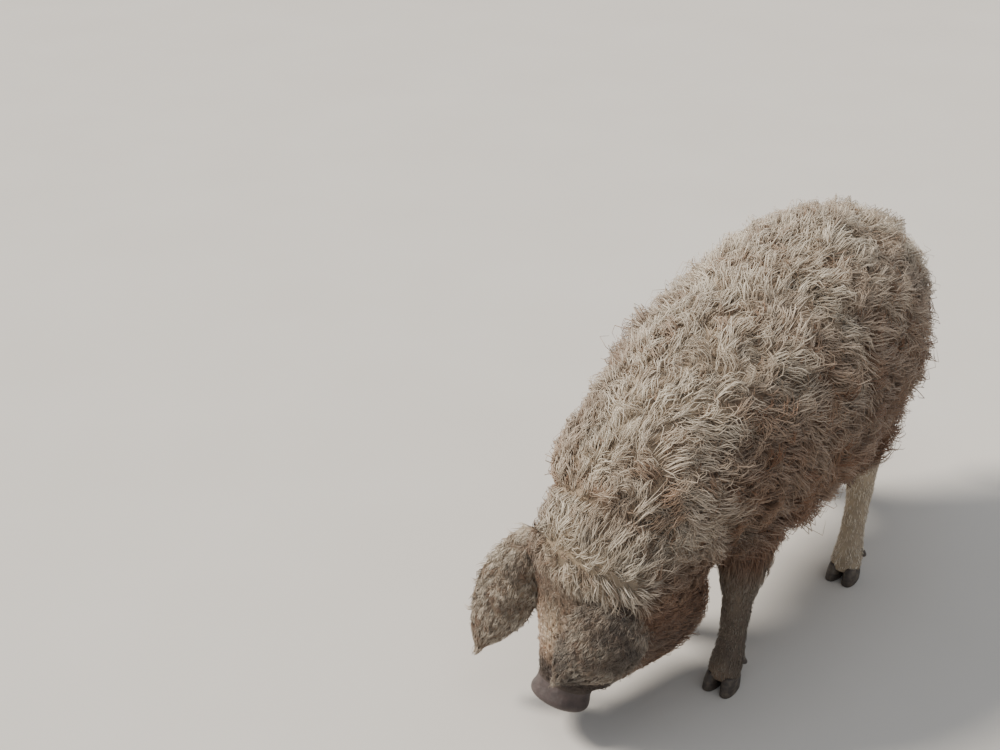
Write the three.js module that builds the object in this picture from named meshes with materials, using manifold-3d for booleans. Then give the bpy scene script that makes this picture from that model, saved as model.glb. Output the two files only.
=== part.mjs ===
// Mangalica pig, a still life-size model in the pose of a pig that feeds from the floor.
// Millimetres, +X towards the head, +Y to the pig's left, +Z up, feet on the plane z = 0.
import * as THREE from "three";
import { mergeVertices } from "three/addons/utils/BufferGeometryUtils.js";
import Module from "manifold-3d";

const wasm = await Module();
wasm.setup();

// Driving dimensions
const HEAD_YAW = 15; // degrees that the lowered head turns to the pig's right
const GAP = 0.3; // clearance between pieces that touch
const LEG_Y = 112; // middle line of each leg from the pig's centre plane
const EYE_RADIUS = 11;
const EAR_WIDTH = 128; // the left ear; the right one is seen more from its edge
const EAR_WIDTH_RIGHT = 114;
const EAR_CUP = 20; // how far the ear's edges bend towards the head
const TAIL_LENGTH = 190;
const TOE_LENGTH = 50;
const TOE_WIDTH = 25;
const TOE_HEIGHT = 25; // at the middle of the claw
const HOOF_SLOPE = 0.35; // rise of the hoof's top towards the toe
const TOE_SPREAD = 4; // degrees that each toe turns out

const CURL_LENGTH = 146;
const CURL_WIDTH = 110;
const HEAD_CURL_LENGTH = 88;
const HEAD_CURL_WIDTH = 64;
const EAR_BLADE = 11; // the ear without its tufts
const EAR_TUFT = 7; // how far the tufts stand out of it

const CURL_SPACING = 122; // between neighbours in a row
const TORSO_ROWS = { from: 66, to: 740, step: 96 };
const NECK_ROWS = { from: 796, to: 880, step: 66 };

const CURL_SIDES = 5;
const BODY_SIDES = 22;
const HEAD_SIDES = 18;
const LEG_SIDES = 12;

const coat = new THREE.MeshStandardMaterial({ color: 0xb09a7c, roughness: 0.95, metalness: 0 });
const bareSkin = new THREE.MeshStandardMaterial({ color: 0x4a4140, roughness: 0.6, metalness: 0 });
const horn = new THREE.MeshStandardMaterial({ color: 0x2f2a26, roughness: 0.45, metalness: 0 });
const eyeball = new THREE.MeshStandardMaterial({ color: 0x1c130d, roughness: 0.1, metalness: 0 });

const rad = THREE.MathUtils.degToRad;
const vec = (x, y, z) => new THREE.Vector3(x, y, z);

// Value at x on a smooth curve through the rows [x, value], level at both ends.
function along(rows, x) {
  const last = rows.length - 1;
  if (x <= rows[0][0]) return rows[0][1];
  if (x >= rows[last][0]) return rows[last][1];
  const i = rows.findIndex((row) => row[0] > x) - 1;
  const slope = (k) =>
    k <= 0 || k >= last ? 0 : (rows[k + 1][1] - rows[k - 1][1]) / (rows[k + 1][0] - rows[k - 1][0]);
  const span = rows[i + 1][0] - rows[i][0];
  const t = (x - rows[i][0]) / span;
  const h00 = 2 * t ** 3 - 3 * t ** 2 + 1;
  const h10 = t ** 3 - 2 * t ** 2 + t;
  const h01 = 3 * t ** 2 - 2 * t ** 3;
  const h11 = t ** 3 - t ** 2;
  return h00 * rows[i][1] + h10 * span * slope(i) + h01 * rows[i + 1][1] + h11 * span * slope(i + 1);
}

function solid(geometry) {
  const g = geometry.clone();
  g.deleteAttribute("normal");
  g.deleteAttribute("uv");
  const merged = mergeVertices(g, 1e-3);
  return new wasm.Manifold(
    new wasm.Mesh({
      numProp: 3,
      vertProperties: new Float32Array(merged.attributes.position.array),
      triVerts: new Uint32Array(merged.index.array),
    }),
  );
}

function geometryOf(manifold) {
  const mesh = manifold.getMesh();
  const points = new Float32Array(mesh.numVert * 3);
  for (let i = 0; i < mesh.numVert; i++)
    points.set(mesh.vertProperties.subarray(i * mesh.numProp, i * mesh.numProp + 3), i * 3);
  const g = new THREE.BufferGeometry();
  g.setAttribute("position", new THREE.BufferAttribute(points, 3));
  g.setIndex(new THREE.BufferAttribute(new Uint32Array(mesh.triVerts), 1));
  g.computeVertexNormals();
  return g;
}

// The largest closed surface of a joined or cut solid.
function largest(manifold) {
  const pieces = manifold.decompose();
  pieces.sort((a, b) => b.volume() - a.volume());
  return pieces[0];
}

// A closed skin over rings of points, each ring the same way round, with a fan over each end
// that meets at the ring's middle or at the tip given.
function skinOver(rings, tip = null) {
  const sides = rings[0].length;
  const points = rings.flat();
  const middle = (ring) => ring.reduce((sum, p) => sum.add(p), vec(0, 0, 0)).divideScalar(sides);
  const start = points.push(middle(rings[0])) - 1;
  const end = points.push(tip ?? middle(rings[rings.length - 1])) - 1;
  const faces = [];
  for (let k = 0; k < sides; k++) {
    const next = (k + 1) % sides;
    for (let r = 0; r + 1 < rings.length; r++) {
      const a = r * sides;
      const b = a + sides;
      faces.push(a + k, a + next, b + next, a + k, b + next, b + k);
    }
    const tail = (rings.length - 1) * sides;
    faces.push(start, next, k, end, tail + k, tail + next);
  }
  const g = new THREE.BufferGeometry();
  g.setAttribute("position", new THREE.Float32BufferAttribute(points.flatMap((p) => p.toArray()), 3));
  g.setIndex(faces);
  const made = solid(g);
  if (made.volume() > 0) return made;
  for (let i = 0; i < faces.length; i += 3) [faces[i], faces[i + 1]] = [faces[i + 1], faces[i]];
  g.setIndex(faces);
  return solid(g);
}

// One ring of a limb: centre, half sizes along two directions.
function oval(centre, across, up, halfAcross, halfUp, sides) {
  return Array.from({ length: sides }, (_, k) => {
    const a = (2 * Math.PI * k) / sides;
    return centre
      .clone()
      .addScaledVector(across, halfAcross * Math.sin(a))
      .addScaledVector(up, halfUp * Math.cos(a));
  });
}

// The middle line of torso and neck as x and z over the distance s from the rump,
// with half widths and the depths above and below it. All include the coat.
const MIDDLE_X = [
  [0, -464],
  [24, -440],
  [64, -400],
  [124, -340],
  [214, -250],
  [314, -150],
  [424, -40],
  [544, 80],
  [644, 180],
  [724, 259],
  [790, 321],
  [850, 374],
  [906, 417],
];
const MIDDLE_Z = [
  [0, 425],
  [24, 425],
  [64, 421],
  [124, 419],
  [214, 411],
  [314, 404],
  [424, 396],
  [544, 391],
  [644, 393],
  [724, 396],
  [790, 383],
  [850, 355],
  [906, 317],
];
const HALF_WIDTH = [
  [0, 4],
  [24, 76],
  [64, 119],
  [124, 158],
  [214, 190],
  [314, 205],
  [424, 211],
  [544, 209],
  [644, 198],
  [724, 180],
  [790, 162],
  [850, 146],
  [906, 116],
];
const RISE = [
  [0, 4],
  [24, 80],
  [64, 130],
  [124, 177],
  [214, 215],
  [314, 238],
  [424, 244],
  [544, 232],
  [644, 208],
  [724, 180],
  [790, 158],
  [850, 136],
  [906, 106],
];
const DROP = [
  [0, 4],
  [24, 84],
  [64, 128],
  [124, 168],
  [214, 205],
  [314, 232],
  [424, 239],
  [544, 231],
  [644, 216],
  [724, 194],
  [790, 172],
  [850, 148],
  [906, 112],
];
const BODY_END = 906;
const NECK_FROM = 716; // where the neck leaves the shoulders
const NECK_YAW = 10; // degrees that the neck turns to the pig's right

// Turns a point about the upright line through the shoulders, more towards the head.
function turned(point, s) {
  const share = THREE.MathUtils.smoothstep(s, NECK_FROM - 60, BODY_END);
  const pivot = vec(along(MIDDLE_X, NECK_FROM), 0, 0);
  return point.clone().sub(pivot).applyAxisAngle(vec(0, 0, 1), -rad(NECK_YAW) * share).add(pivot);
}

// Frame of the body at s: middle point, direction along, and the direction of the back.
function frameAt(s) {
  const at = (q) => vec(along(MIDDLE_X, q), 0, along(MIDDLE_Z, q));
  const step = 24;
  const run = at(Math.min(BODY_END, s + step)).sub(at(Math.max(0, s - step))).normalize();
  if (s < 124) run.set(1, 0, 0);
  return { centre: at(s), run, back: vec(-run.z, 0, run.x), left: vec(0, 1, 0) };
}

// A point of a cross section at an angle from the back (0) over the left side (90).
function sectionPoint(f, angle, width, rise, drop, belly) {
  const up = Math.cos(rad(angle));
  return f.centre
    .clone()
    .addScaledVector(f.back, (up > 0 ? rise : drop) * up)
    .addScaledVector(f.left, width * (1 - belly * up) * Math.sin(rad(angle)));
}

// A point of the outline of torso or neck, less the depth that is taken off it.
function bodyPoint(s, angle, depth = 0) {
  const size = (rows) => Math.max(1, along(rows, s) - depth);
  return turned(sectionPoint(frameAt(s), angle, size(HALF_WIDTH), size(RISE), size(DROP), 0.07), s);
}

const BODY_STOPS = [0, 8, 24, 48, 88, 140, 214, 300, 380, 460, 544, 620, 680, 735, 790, 850, 906];

function bodySolid(depthAt, extra = 0) {
  return skinOver(
    BODY_STOPS.map((s) =>
      Array.from({ length: BODY_SIDES }, (_, k) =>
        bodyPoint(s, (360 * k) / BODY_SIDES, depthAt(s) - extra),
      ),
    ),
  );
}

// The head on its own straight axis: distance t from the middle of the skull towards the snout.
const HEAD_PITCH = 67; // degrees that the face points down
const SKULL = vec(419, -22, 299);
const HEAD_WIDTH = [
  [-70, 90],
  [-35, 116],
  [0, 128],
  [40, 135],
  [80, 134],
  [120, 118],
  [160, 94],
  [200, 66],
  [240, 46],
  [262, 44],
];
const HEAD_RISE = [
  [-70, 78],
  [-35, 106],
  [0, 117],
  [40, 110],
  [80, 86],
  [120, 64],
  [160, 52],
  [200, 46],
  [240, 42],
  [262, 40],
];
const HEAD_DROP = [
  [-70, 94],
  [-35, 136],
  [0, 160],
  [40, 186],
  [80, 203],
  [120, 199],
  [160, 174],
  [200, 118],
  [240, 52],
  [262, 36],
];
const headWay = (direction) =>
  direction.applyAxisAngle(vec(0, 1, 0), rad(HEAD_PITCH)).applyAxisAngle(vec(0, 0, 1), -rad(HEAD_YAW));
const head = { run: headWay(vec(1, 0, 0)), back: headWay(vec(0, 0, 1)), left: headWay(vec(0, 1, 0)) };

const headMiddle = (t) => SKULL.clone().addScaledVector(head.run, t);

function headPoint(t, angle, depth = 0) {
  const size = (rows) => Math.max(1, along(rows, t) - depth);
  const f = { ...head, centre: headMiddle(t) };
  return sectionPoint(f, angle, size(HEAD_WIDTH), size(HEAD_RISE), size(HEAD_DROP), 0.1);
}

const HEAD_STOPS = [-70, -60, -35, 0, 35, 65, 92, 120, 150, 180, 212, 240, 262];

function skullSolid(depthAt, extra = 0) {
  return skinOver(
    HEAD_STOPS.map((t) =>
      Array.from({ length: HEAD_SIDES }, (_, k) => headPoint(t, (360 * k) / HEAD_SIDES, depthAt(t) - extra)),
    ),
  );
}

// Depth from the tips of the coat down to the core that carries the curls
const BODY_COAT = [
  [0, 16],
  [60, 22],
  [640, 24],
  [790, 20],
  [906, 16],
];
const HEAD_COAT = [
  [-70, 16],
  [0, 14],
  [60, 12],
  [120, 6],
  [180, 0],
];
const bodyCoat = (s) => along(BODY_COAT, s);
const headCoat = (t) => along(HEAD_COAT, t);
const bodyWhole = bodySolid(bodyCoat).add(skullSolid(headCoat));
const bodyGrown = bodySolid(bodyCoat, 2 * GAP).add(skullSolid(headCoat, 2 * GAP));

// A half space cut: keeps what lies on the side that the normal points to.
const keepSide = (manifold, normal, point) =>
  manifold.trimByPlane(normal.toArray(), normal.dot(point));

function partedAt(s) {
  const f = frameAt(s);
  const middle = turned(f.centre, s);
  const normal = turned(f.centre.clone().add(f.run), s).sub(middle).normalize();
  return { middle, normal };
}

function between(manifold, from, to) {
  let kept = manifold;
  if (from) kept = keepSide(kept, from.normal, from.middle.clone().addScaledVector(from.normal, GAP / 2));
  if (to) {
    const back = to.normal.clone().negate();
    kept = keepSide(kept, back, to.middle.clone().addScaledVector(back, GAP / 2));
  }
  return kept;
}

// A leg as rings down its own line: [x, y, z, half size fore and aft, half size across].
function legSolid(rows, side, extra = 0) {
  const rings = rows.map(([x, y, z, foreAft, across], i) => {
    const a = rows[Math.max(0, i - 1)];
    const b = rows[Math.min(rows.length - 1, i + 1)];
    const run = vec(b[0] - a[0], 0, b[2] - a[2]).normalize();
    const fore = vec(-run.z, 0, run.x);
    return oval(vec(x, side * y, z), vec(0, 1, 0), fore, across + extra, foreAft + extra, LEG_SIDES);
  });
  return skinOver(rings);
}

// The foreleg from the elbow to the pastern, with the foot shifted by step along x.
function foreleg([step]) {
  return [
    [236, LEG_Y - 8, 300, 74, 50],
    [240, LEG_Y - 4, 240, 62, 45],
    [246 + step * 0.3, LEG_Y, 190, 46, 36],
    [250 + step * 0.5, LEG_Y, 150, 32, 28],
    [250 + step * 0.65, LEG_Y, 122, 29, 28],
    [250 + step * 0.8, LEG_Y, 92, 25, 25],
    [254 + step * 0.9, LEG_Y, 62, 26, 27],
    [262 + step, LEG_Y, 40, 27, 29],
    [268 + step, LEG_Y, 14, 26, 29],
  ];
}

// The hind leg from the stifle over the hock to the pastern, its foot set forward and out.
function hindleg([step, out]) {
  return [
    [-262 + step * 0.3, LEG_Y - 14, 350, 105, 62],
    [-262 + step * 0.55, LEG_Y - 8 + out * 0.2, 292, 86, 56],
    [-272 + step * 0.72, LEG_Y - 2 + out * 0.45, 236, 60, 44],
    [-292 + step * 0.84, LEG_Y + out * 0.62, 192, 42, 32],
    [-302 + step * 0.91, LEG_Y + out * 0.74, 158, 33, 26],
    [-296 + step * 0.95, LEG_Y + out * 0.84, 124, 26, 23],
    [-288 + step * 0.98, LEG_Y + out * 0.92, 92, 23, 23],
    [-282 + step, LEG_Y + out, 62, 25, 26],
    [-274 + step, LEG_Y + out, 40, 27, 29],
    [-268 + step, LEG_Y + out, 14, 26, 29],
  ];
}

// How far each foot stands ahead of the leg's rest, and out to its side
const FORE_LEFT = [26, 0];
const FORE_RIGHT = [-14, 0];
const HIND_LEFT = [178, 32];
const HIND_RIGHT = [12, 0];
const FORE_X = 268; // the foot's middle with the leg at rest
const HIND_X = -268;
const footOf = (x, side, [step, out]) => vec(x + step, side * (LEG_Y + out), 0);
const LEGS = [
  { place: "fore_left", rows: foreleg(FORE_LEFT), side: 1, foot: footOf(FORE_X, 1, FORE_LEFT) },
  { place: "fore_right", rows: foreleg(FORE_RIGHT), side: -1, foot: footOf(FORE_X, -1, FORE_RIGHT) },
  { place: "hind_left", rows: hindleg(HIND_LEFT), side: 1, foot: footOf(HIND_X, 1, HIND_LEFT) },
  { place: "hind_right", rows: hindleg(HIND_RIGHT), side: -1, foot: footOf(HIND_X, -1, HIND_RIGHT) },
];

// One claw of a foot: a flat sole, the wall sloping back and the top lower at the heel. Inner is
// 1 or -1 for the claw on the left or right of the foot's middle, and the toes spread a little.
function clawSolid(foot, inner) {
  const centre = foot.clone().add(vec(0, inner * (TOE_WIDTH / 2 + 1.5), 0));
  const spread = rad(inner * TOE_SPREAD);
  const outline = (share, lift, slope) => {
    const half = (TOE_WIDTH / 2) * share;
    const toe = TOE_LENGTH * 0.6 * share;
    const heel = TOE_LENGTH * 0.4 * share;
    return [
      [toe, 0],
      [toe * 0.82, half * 0.6],
      [toe * 0.3, half],
      [-heel * 0.5, half * 0.98],
      [-heel, half * 0.6],
      [-heel, -half * 0.6],
      [-heel * 0.5, -half * 0.98],
      [toe * 0.3, -half],
      [toe * 0.82, -half * 0.6],
    ].map(([x, y]) =>
      vec(x + lift[0], y, lift[1] + slope * (x + lift[0])).applyAxisAngle(vec(0, 0, 1), spread).add(centre),
    );
  };
  return skinOver([
    outline(0.96, [0, 0], 0),
    outline(1, [0, 3], 0),
    outline(0.96, [-3, TOE_HEIGHT * 0.5], HOOF_SLOPE / 2),
    outline(0.84, [-8, TOE_HEIGHT], HOOF_SLOPE),
  ]);
}

// A dewclaw: a blunt cone of horn that points down and back from behind the pastern.
function spurSolid(foot, inner) {
  const root = foot.clone().add(vec(-14, inner * 15, 56));
  const down = vec(-0.62, 0.16 * inner, -0.72);
  const rings = [
    [0, 9],
    [14, 9],
    [26, 6.5],
    [32, 3],
  ];
  return skinOver(
    rings.map(([reach, radius]) =>
      oval(root.clone().addScaledVector(down, reach), vec(0, 1, 0), vec(-0.72, 0, 0.62), radius, radius, 7),
    ),
  );
}

const parts = [];
function addPart(name, manifold, material) {
  const mesh = new THREE.Mesh(geometryOf(largest(manifold)), material);
  mesh.name = name;
  parts.push(mesh);
}

// Parting planes: neck from torso, head from neck, snout from muzzle
const neckCut = partedAt(NECK_FROM);
const NECK_PITCH = 52;
const headCut = {
  middle: SKULL.clone().add(vec(-34, 6, 20)),
  normal: vec(1, 0, 0)
    .applyAxisAngle(vec(0, 1, 0), rad(NECK_PITCH))
    .applyAxisAngle(vec(0, 0, 1), -rad(HEAD_YAW)),
};
const SNOUT_T = 246; // where the bare disc begins
const snoutCut = { middle: headMiddle(SNOUT_T), normal: head.run };

// Eye places on the head's sides
const EYE_T = 78;
const EYE_ANGLE = 56;
const eyes = [1, -1].map((side) => {
  const outer = headPoint(EYE_T, side * EYE_ANGLE);
  const out = outer.clone().sub(headMiddle(EYE_T)).normalize();
  const centre = outer.clone().addScaledVector(out, -EYE_RADIUS + 2);
  return { name: side > 0 ? "eye_left" : "eye_right", out, centre };
});
const ball = (radius, centre, detail = 1) => {
  const g = new THREE.IcosahedronGeometry(radius, detail);
  g.translate(centre.x, centre.y, centre.z);
  return solid(g);
};

// A rounded cord of flesh along points, for lids and lips.
function fleshCord(points, radius, sides = 5) {
  const curve = new THREE.CatmullRomCurve3(points);
  const steps = points.length;
  const rings = Array.from({ length: steps + 1 }, (_, i) => {
    const t = i / steps;
    const run = curve.getTangent(t);
    const across = vec(0.3, 0.2, 0.93).cross(run).normalize();
    const up = run.clone().cross(across).normalize();
    const r = radius * (0.45 + 0.55 * Math.sin(Math.PI * t));
    return oval(curve.getPoint(t), across, up, r, r, sides);
  });
  return skinOver(rings);
}

function lids(eye) {
  const across = eye.out.clone().cross(head.run).normalize();
  const arc = (from, to, lift) =>
    Array.from({ length: 5 }, (_, i) => {
      const a = rad(from + ((to - from) * i) / 4);
      return eye.centre
        .clone()
        .addScaledVector(head.run, Math.cos(a) * EYE_RADIUS * 1.15)
        .addScaledVector(across, Math.sin(a) * EYE_RADIUS * 0.85)
        .addScaledVector(eye.out, EYE_RADIUS * lift);
    });
  return [fleshCord(arc(-10, 190, 0.62), 4.2), fleshCord(arc(170, 370, 0.55), 3.6)];
}

// The line of the mouth, from under the snout back to the cheek.
function mouthLine(side) {
  const rows = [
    [262, 124],
    [232, 120],
    [200, 116],
    [168, 110],
    [138, 104],
  ];
  return fleshCord(
    rows.map(([t, angle]) => headPoint(t, side * angle, 1)),
    4,
  );
}

const pastShoulder = between(bodyWhole, neckCut, null);
let headSolid = between(pastShoulder, headCut, snoutCut);
for (const eye of eyes) for (const lid of lids(eye)) headSolid = headSolid.add(lid);
for (const side of [1, -1]) headSolid = headSolid.subtract(mouthLine(side));
for (const eye of eyes) headSolid = headSolid.subtract(ball(EYE_RADIUS + GAP, eye.centre));

// The snout: an oval disc a little wider than the muzzle behind it, with two nostrils.
function snoutSolid() {
  const f = head;
  const at = (d) => headMiddle(258 + d);
  const ring = (d, share, drop) =>
    oval(at(d).addScaledVector(f.back, drop), f.left, f.back, 47 * share, 43 * share, 14);
  const flank = [ring(-22, 0.86, 2), ring(-8, 0.98, 3), ring(2, 1.04, 4)];
  const face = [ring(9, 0.98, 4), ring(12, 0.84, 4)];
  let disc = between(skinOver([...flank, ...face]), snoutCut, null);
  for (const side of [1, -1]) {
    const mouth = at(12).addScaledVector(f.left, side * 15).addScaledVector(f.back, 6);
    const hole = [0, 1, 2].map((k) =>
      oval(mouth.clone().addScaledVector(f.run, 6 - k * 10), f.left, f.back, 7 - k, 9 - k, 8),
    );
    disc = disc.subtract(skinOver(hole));
  }
  return disc;
}

// An ear: a cupped leaf that falls forward from its root beside the crown, over the eye.
const EARS = [
  {
    name: "ear_left",
    width: EAR_WIDTH,
    root: [482, 64, 264],
    bend: [548, 37, 206],
    tip: [563, -32, 116],
    across: [-0.21, 0.77, -0.53],
  },
  {
    name: "ear_right",
    width: EAR_WIDTH_RIGHT,
    root: [450, -138, 280],
    bend: [502, -160, 192],
    tip: [537, -194, 88],
    across: [-0.36, 0.82, -0.37],
  },
];
const EAR_OUTLINE = [
  [0, 0.5],
  [0.15, 0.72],
  [0.38, 0.97],
  [0.6, 0.92],
  [0.8, 0.66],
  [0.93, 0.36],
  [1, 0.12],
];

function earSurface(ear, u, t, lift, margin = 0) {
  const [root, bend, tip] = [ear.root, ear.bend, ear.tip].map((p) => vec(...p));
  const knee = bend.multiplyScalar(2).sub(root.clone().add(tip).multiplyScalar(0.5));
  const curve = new THREE.QuadraticBezierCurve3(root, knee, tip);
  const run = curve.getTangent(t);
  const face = run.clone().cross(vec(...ear.across)).normalize();
  const across = face.clone().cross(run).normalize();
  if (face.x < 0) face.negate();
  const half = (ear.width / 2) * along(EAR_OUTLINE, t);
  const cup = -EAR_CUP * u * u * (1 - 0.35 * t);
  return curve
    .getPoint(t)
    .addScaledVector(across, (half + margin) * u)
    .addScaledVector(face, cup + lift * (1 - 0.6 * Math.abs(u) ** 3));
}

function earSolid(ear, extra = 0) {
  const steps = 7;
  const spread = [-1, -0.5, 0, 0.5, 1];
  const rings = Array.from({ length: steps + 1 }, (_, i) => {
    const t = i / steps;
    const half = (EAR_BLADE / 2) * (1 - 0.4 * t) + extra;
    const front = spread.map((u) => earSurface(ear, u, t, half, extra));
    const rear = [...spread].reverse().map((u) => earSurface(ear, u, t, -half, extra));
    return [...front, ...rear];
  });
  return skinOver(rings);
}

// A seeded draw, so that every curl comes out the same each time
let drawState = 20771;
function draw(low, high) {
  drawState = (Math.imul(drawState, 1664525) + 1013904223) >>> 0;
  return low + ((high - low) * drawState) / 2 ** 32;
}

// One rounded curl: it leaves the core, swells, bends sideways and ends in a tip. The surface
// gives the point at a distance ahead of the root, a shift aside and a depth below the tips.
function curl(surface, { length, width, depth, turn, sides = CURL_SIDES, extra = 0 }) {
  const stations = [
    { at: 0, wide: 0.5, thick: 0.6, sink: 1.15 },
    { at: 0.36, wide: 1, thick: 1, sink: 0.62 },
    { at: 0.74, wide: 0.74, thick: 0.84, sink: 0.64 },
  ];
  const half = depth * 0.62;
  const place = (at, sink) => {
    const bend = rad(turn) * at;
    const ahead = (length * Math.sin(bend)) / rad(turn);
    const aside = (length * (1 - Math.cos(bend))) / rad(turn);
    return surface(ahead, aside, depth * sink);
  };
  const rings = stations.map(({ at, wide, thick, sink }) => {
    const centre = place(at, sink);
    const run = place(at + 0.05, sink).sub(place(Math.max(0, at - 0.05), sink)).normalize();
    const out = place(at, sink - 0.2).sub(centre).normalize();
    const across = run.clone().cross(out).normalize();
    const up = across.clone().cross(run).normalize();
    return oval(centre, across, up, (width / 2) * wide + extra, half * thick + extra, sides);
  });
  return skinOver(rings, place(1 + (2 * extra) / length, 0.4));
}

// The surface of torso and neck as seen by a curl at s and angle that points at heading,
// where heading 180 is towards the rump and 90 is down the side.
function bodySurface(s, angle, heading) {
  const radius = (along(HALF_WIDTH, s) + along(RISE, s) + along(DROP, s)) / 3;
  const side = Math.sign(angle) || 1;
  return (ahead, aside, sink) => {
    const forward = ahead * Math.cos(rad(heading)) - aside * Math.sin(rad(heading));
    const around = ahead * Math.sin(rad(heading)) + aside * Math.cos(rad(heading));
    const place = Math.min(BODY_END - 1, Math.max(4, s + forward));
    return bodyPoint(place, angle + (side * around * 180) / (Math.PI * radius), sink);
  };
}

function headSurface(t, angle, heading) {
  const radius = (along(HEAD_WIDTH, t) + along(HEAD_RISE, t) + along(HEAD_DROP, t)) / 3;
  const side = Math.sign(angle) || 1;
  return (ahead, aside, sink) => {
    const forward = ahead * Math.cos(rad(heading)) - aside * Math.sin(rad(heading));
    const around = ahead * Math.sin(rad(heading)) + aside * Math.cos(rad(heading));
    const place = Math.max(-69, t + forward);
    return headPoint(place, angle + (side * around * 180) / (Math.PI * radius), sink);
  };
}

// Rows of curls round the body from s to s, set close and staggered from row to row.
function bodyCurls(from, to, rowStep, spacing) {
  const curls = [];
  let row = 0;
  for (let s = from; s <= to; s += rowStep) {
    const girth = Math.PI * (along(HALF_WIDTH, s) + (along(RISE, s) + along(DROP, s)) / 2);
    const count = Math.max(4, Math.round(girth / spacing));
    row += 1;
    for (let k = 0; k < count; k++) {
      const angle = ((k + (row % 2) / 2) * 360) / count - 180 + draw(-0.2, 0.2) * (360 / count);
      const swirl = 34 * Math.sin(s / 90 + angle / 38);
      const rump = 1 - THREE.MathUtils.smoothstep(s, 40, 170);
      const heading = 180 - (32 + 46 * rump) * Math.sin(rad(Math.abs(angle))) + swirl * (1 - rump);
      curls.push(
        curl(bodySurface(s + draw(-0.15, 0.15) * rowStep, angle, heading), {
          length: CURL_LENGTH * draw(0.85, 1.1),
          width: CURL_WIDTH * draw(0.88, 1.08),
          depth: bodyCoat(s),
          turn: ((k + row) % 3 === 0 ? -1 : 1) * draw(50, 95),
        }),
      );
    }
  }
  return curls;
}

// Curls of the head: crown and forehead flow towards the snout, cheeks and jowls backwards.
function headCurls() {
  const rows = [
    { t: -26, angles: [-46, -2, 40], heading: 10 },
    { t: 26, angles: [-26, 18], heading: 0 },
    { t: 34, angles: [-104, 106], heading: 150 },
    { t: 36, angles: [-146, 146], heading: 170 },
    { t: 90, angles: [-112, 112], heading: 165 },
    { t: 98, angles: [-150, 150], heading: 175 },
  ];
  return rows.flatMap(({ t, angles, heading }) =>
    angles.map((angle) =>
      curl(headSurface(t, angle, heading + draw(-14, 14)), {
        length: HEAD_CURL_LENGTH * draw(0.85, 1.1),
        width: HEAD_CURL_WIDTH * draw(0.9, 1.1),
        depth: headCoat(t) + 2,
        turn: (angle > 0 ? 1 : -1) * draw(30, 60),
      }),
    ),
  );
}

// Flat tufts on the ear's outer face, that run on past its edge.
function earTufts(ear, extra = 0) {
  const places = [
    [0.26, -0.45],
    [0.26, 0.4],
    [0.5, -0.6],
    [0.48, 0],
    [0.52, 0.6],
    [0.72, 0.1],
  ];
  return places.map(([t, u], k) => {
    const surface = (ahead, aside, sink) =>
      earSurface(
        ear,
        u + (aside + u * ahead * 0.12) / (ear.width / 2),
        Math.min(1, t + ahead / 190),
        EAR_BLADE / 2 + EAR_TUFT - sink,
      );
    const turn = 14 + 9 * (k % 3);
    return curl(surface, { length: 62, width: 42, depth: EAR_TUFT, turn, sides: 4, extra });
  });
}

const joined = (first, more) => more.reduce((sum, piece) => sum.add(piece), first);

// The tail: hangs from the rump and curls once to the side.
function tailSolid(extra = 0) {
  const start = vec(-455, 0, 470);
  const points = Array.from({ length: 11 }, (_, i) => {
    const t = i / 10;
    const behind = 34 * Math.sin(Math.PI * 0.75 * t);
    const aside = 26 * Math.sin(2 * Math.PI * t * 0.9) * t;
    return start.clone().add(vec(-behind, aside, 14 * Math.sin(t * 3) - TAIL_LENGTH * t ** 1.3));
  });
  const curve = new THREE.CatmullRomCurve3(points);
  const steps = 12;
  const rings = Array.from({ length: steps + 1 }, (_, i) => {
    const t = i / steps;
    const run = curve.getTangent(t);
    const across = vec(0, 1, 0.01).cross(run).normalize();
    const up = run.clone().cross(across).normalize();
    const tuft = 1 + 0.9 * Math.exp(-(((t - 0.82) / 0.13) ** 2));
    const r = (14 - 8 * t) * tuft * (t > 0.97 ? 0.35 : 1);
    return oval(curve.getPoint(t), across, up, r + extra, r + extra, 7);
  });
  return skinOver(rings);
}

// Nodes: what two of them share is cut from one of them, grown by the gap
const union = (pieces) => pieces.reduce((sum, piece) => sum.add(piece));
const legsGrown = union(LEGS.map((leg) => legSolid(leg.rows, leg.side, 2 * GAP)));
const earsGrown = union(EARS.map((ear) => joined(earSolid(ear, 3 * GAP), earTufts(ear, 4 * GAP))));
const eyesGrown = union(eyes.map((eye) => joined(ball(EYE_RADIUS + 3 * GAP, eye.centre), lids(eye))));
const tailGrown = tailSolid(2 * GAP);

const torsoCurls = bodyCurls(TORSO_ROWS.from, TORSO_ROWS.to, TORSO_ROWS.step, CURL_SPACING);
const torso = between(joined(between(bodyWhole, null, neckCut), torsoCurls), null, neckCut);
const neckCurls = bodyCurls(NECK_ROWS.from, NECK_ROWS.to, NECK_ROWS.step, CURL_SPACING);
const neckCore = between(pastShoulder, null, headCut);
const neck = between(joined(neckCore, neckCurls), neckCut, headCut);
const headFull = between(joined(headSolid, headCurls()), headCut, snoutCut);
addPart("torso", torso.subtract(legsGrown).subtract(tailGrown), coat);
addPart("neck", neck.subtract(legsGrown).subtract(earsGrown), coat);
addPart("head", headFull.subtract(legsGrown).subtract(earsGrown), coat);
addPart("snout", snoutSolid(), bareSkin);
addPart("tail", tailSolid().subtract(bodyGrown), coat);

for (const { name, centre } of eyes) addPart(name, ball(EYE_RADIUS, centre), eyeball);
for (const ear of EARS)
  addPart(ear.name, joined(earSolid(ear), earTufts(ear)).subtract(bodyGrown).subtract(eyesGrown), coat);

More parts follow.
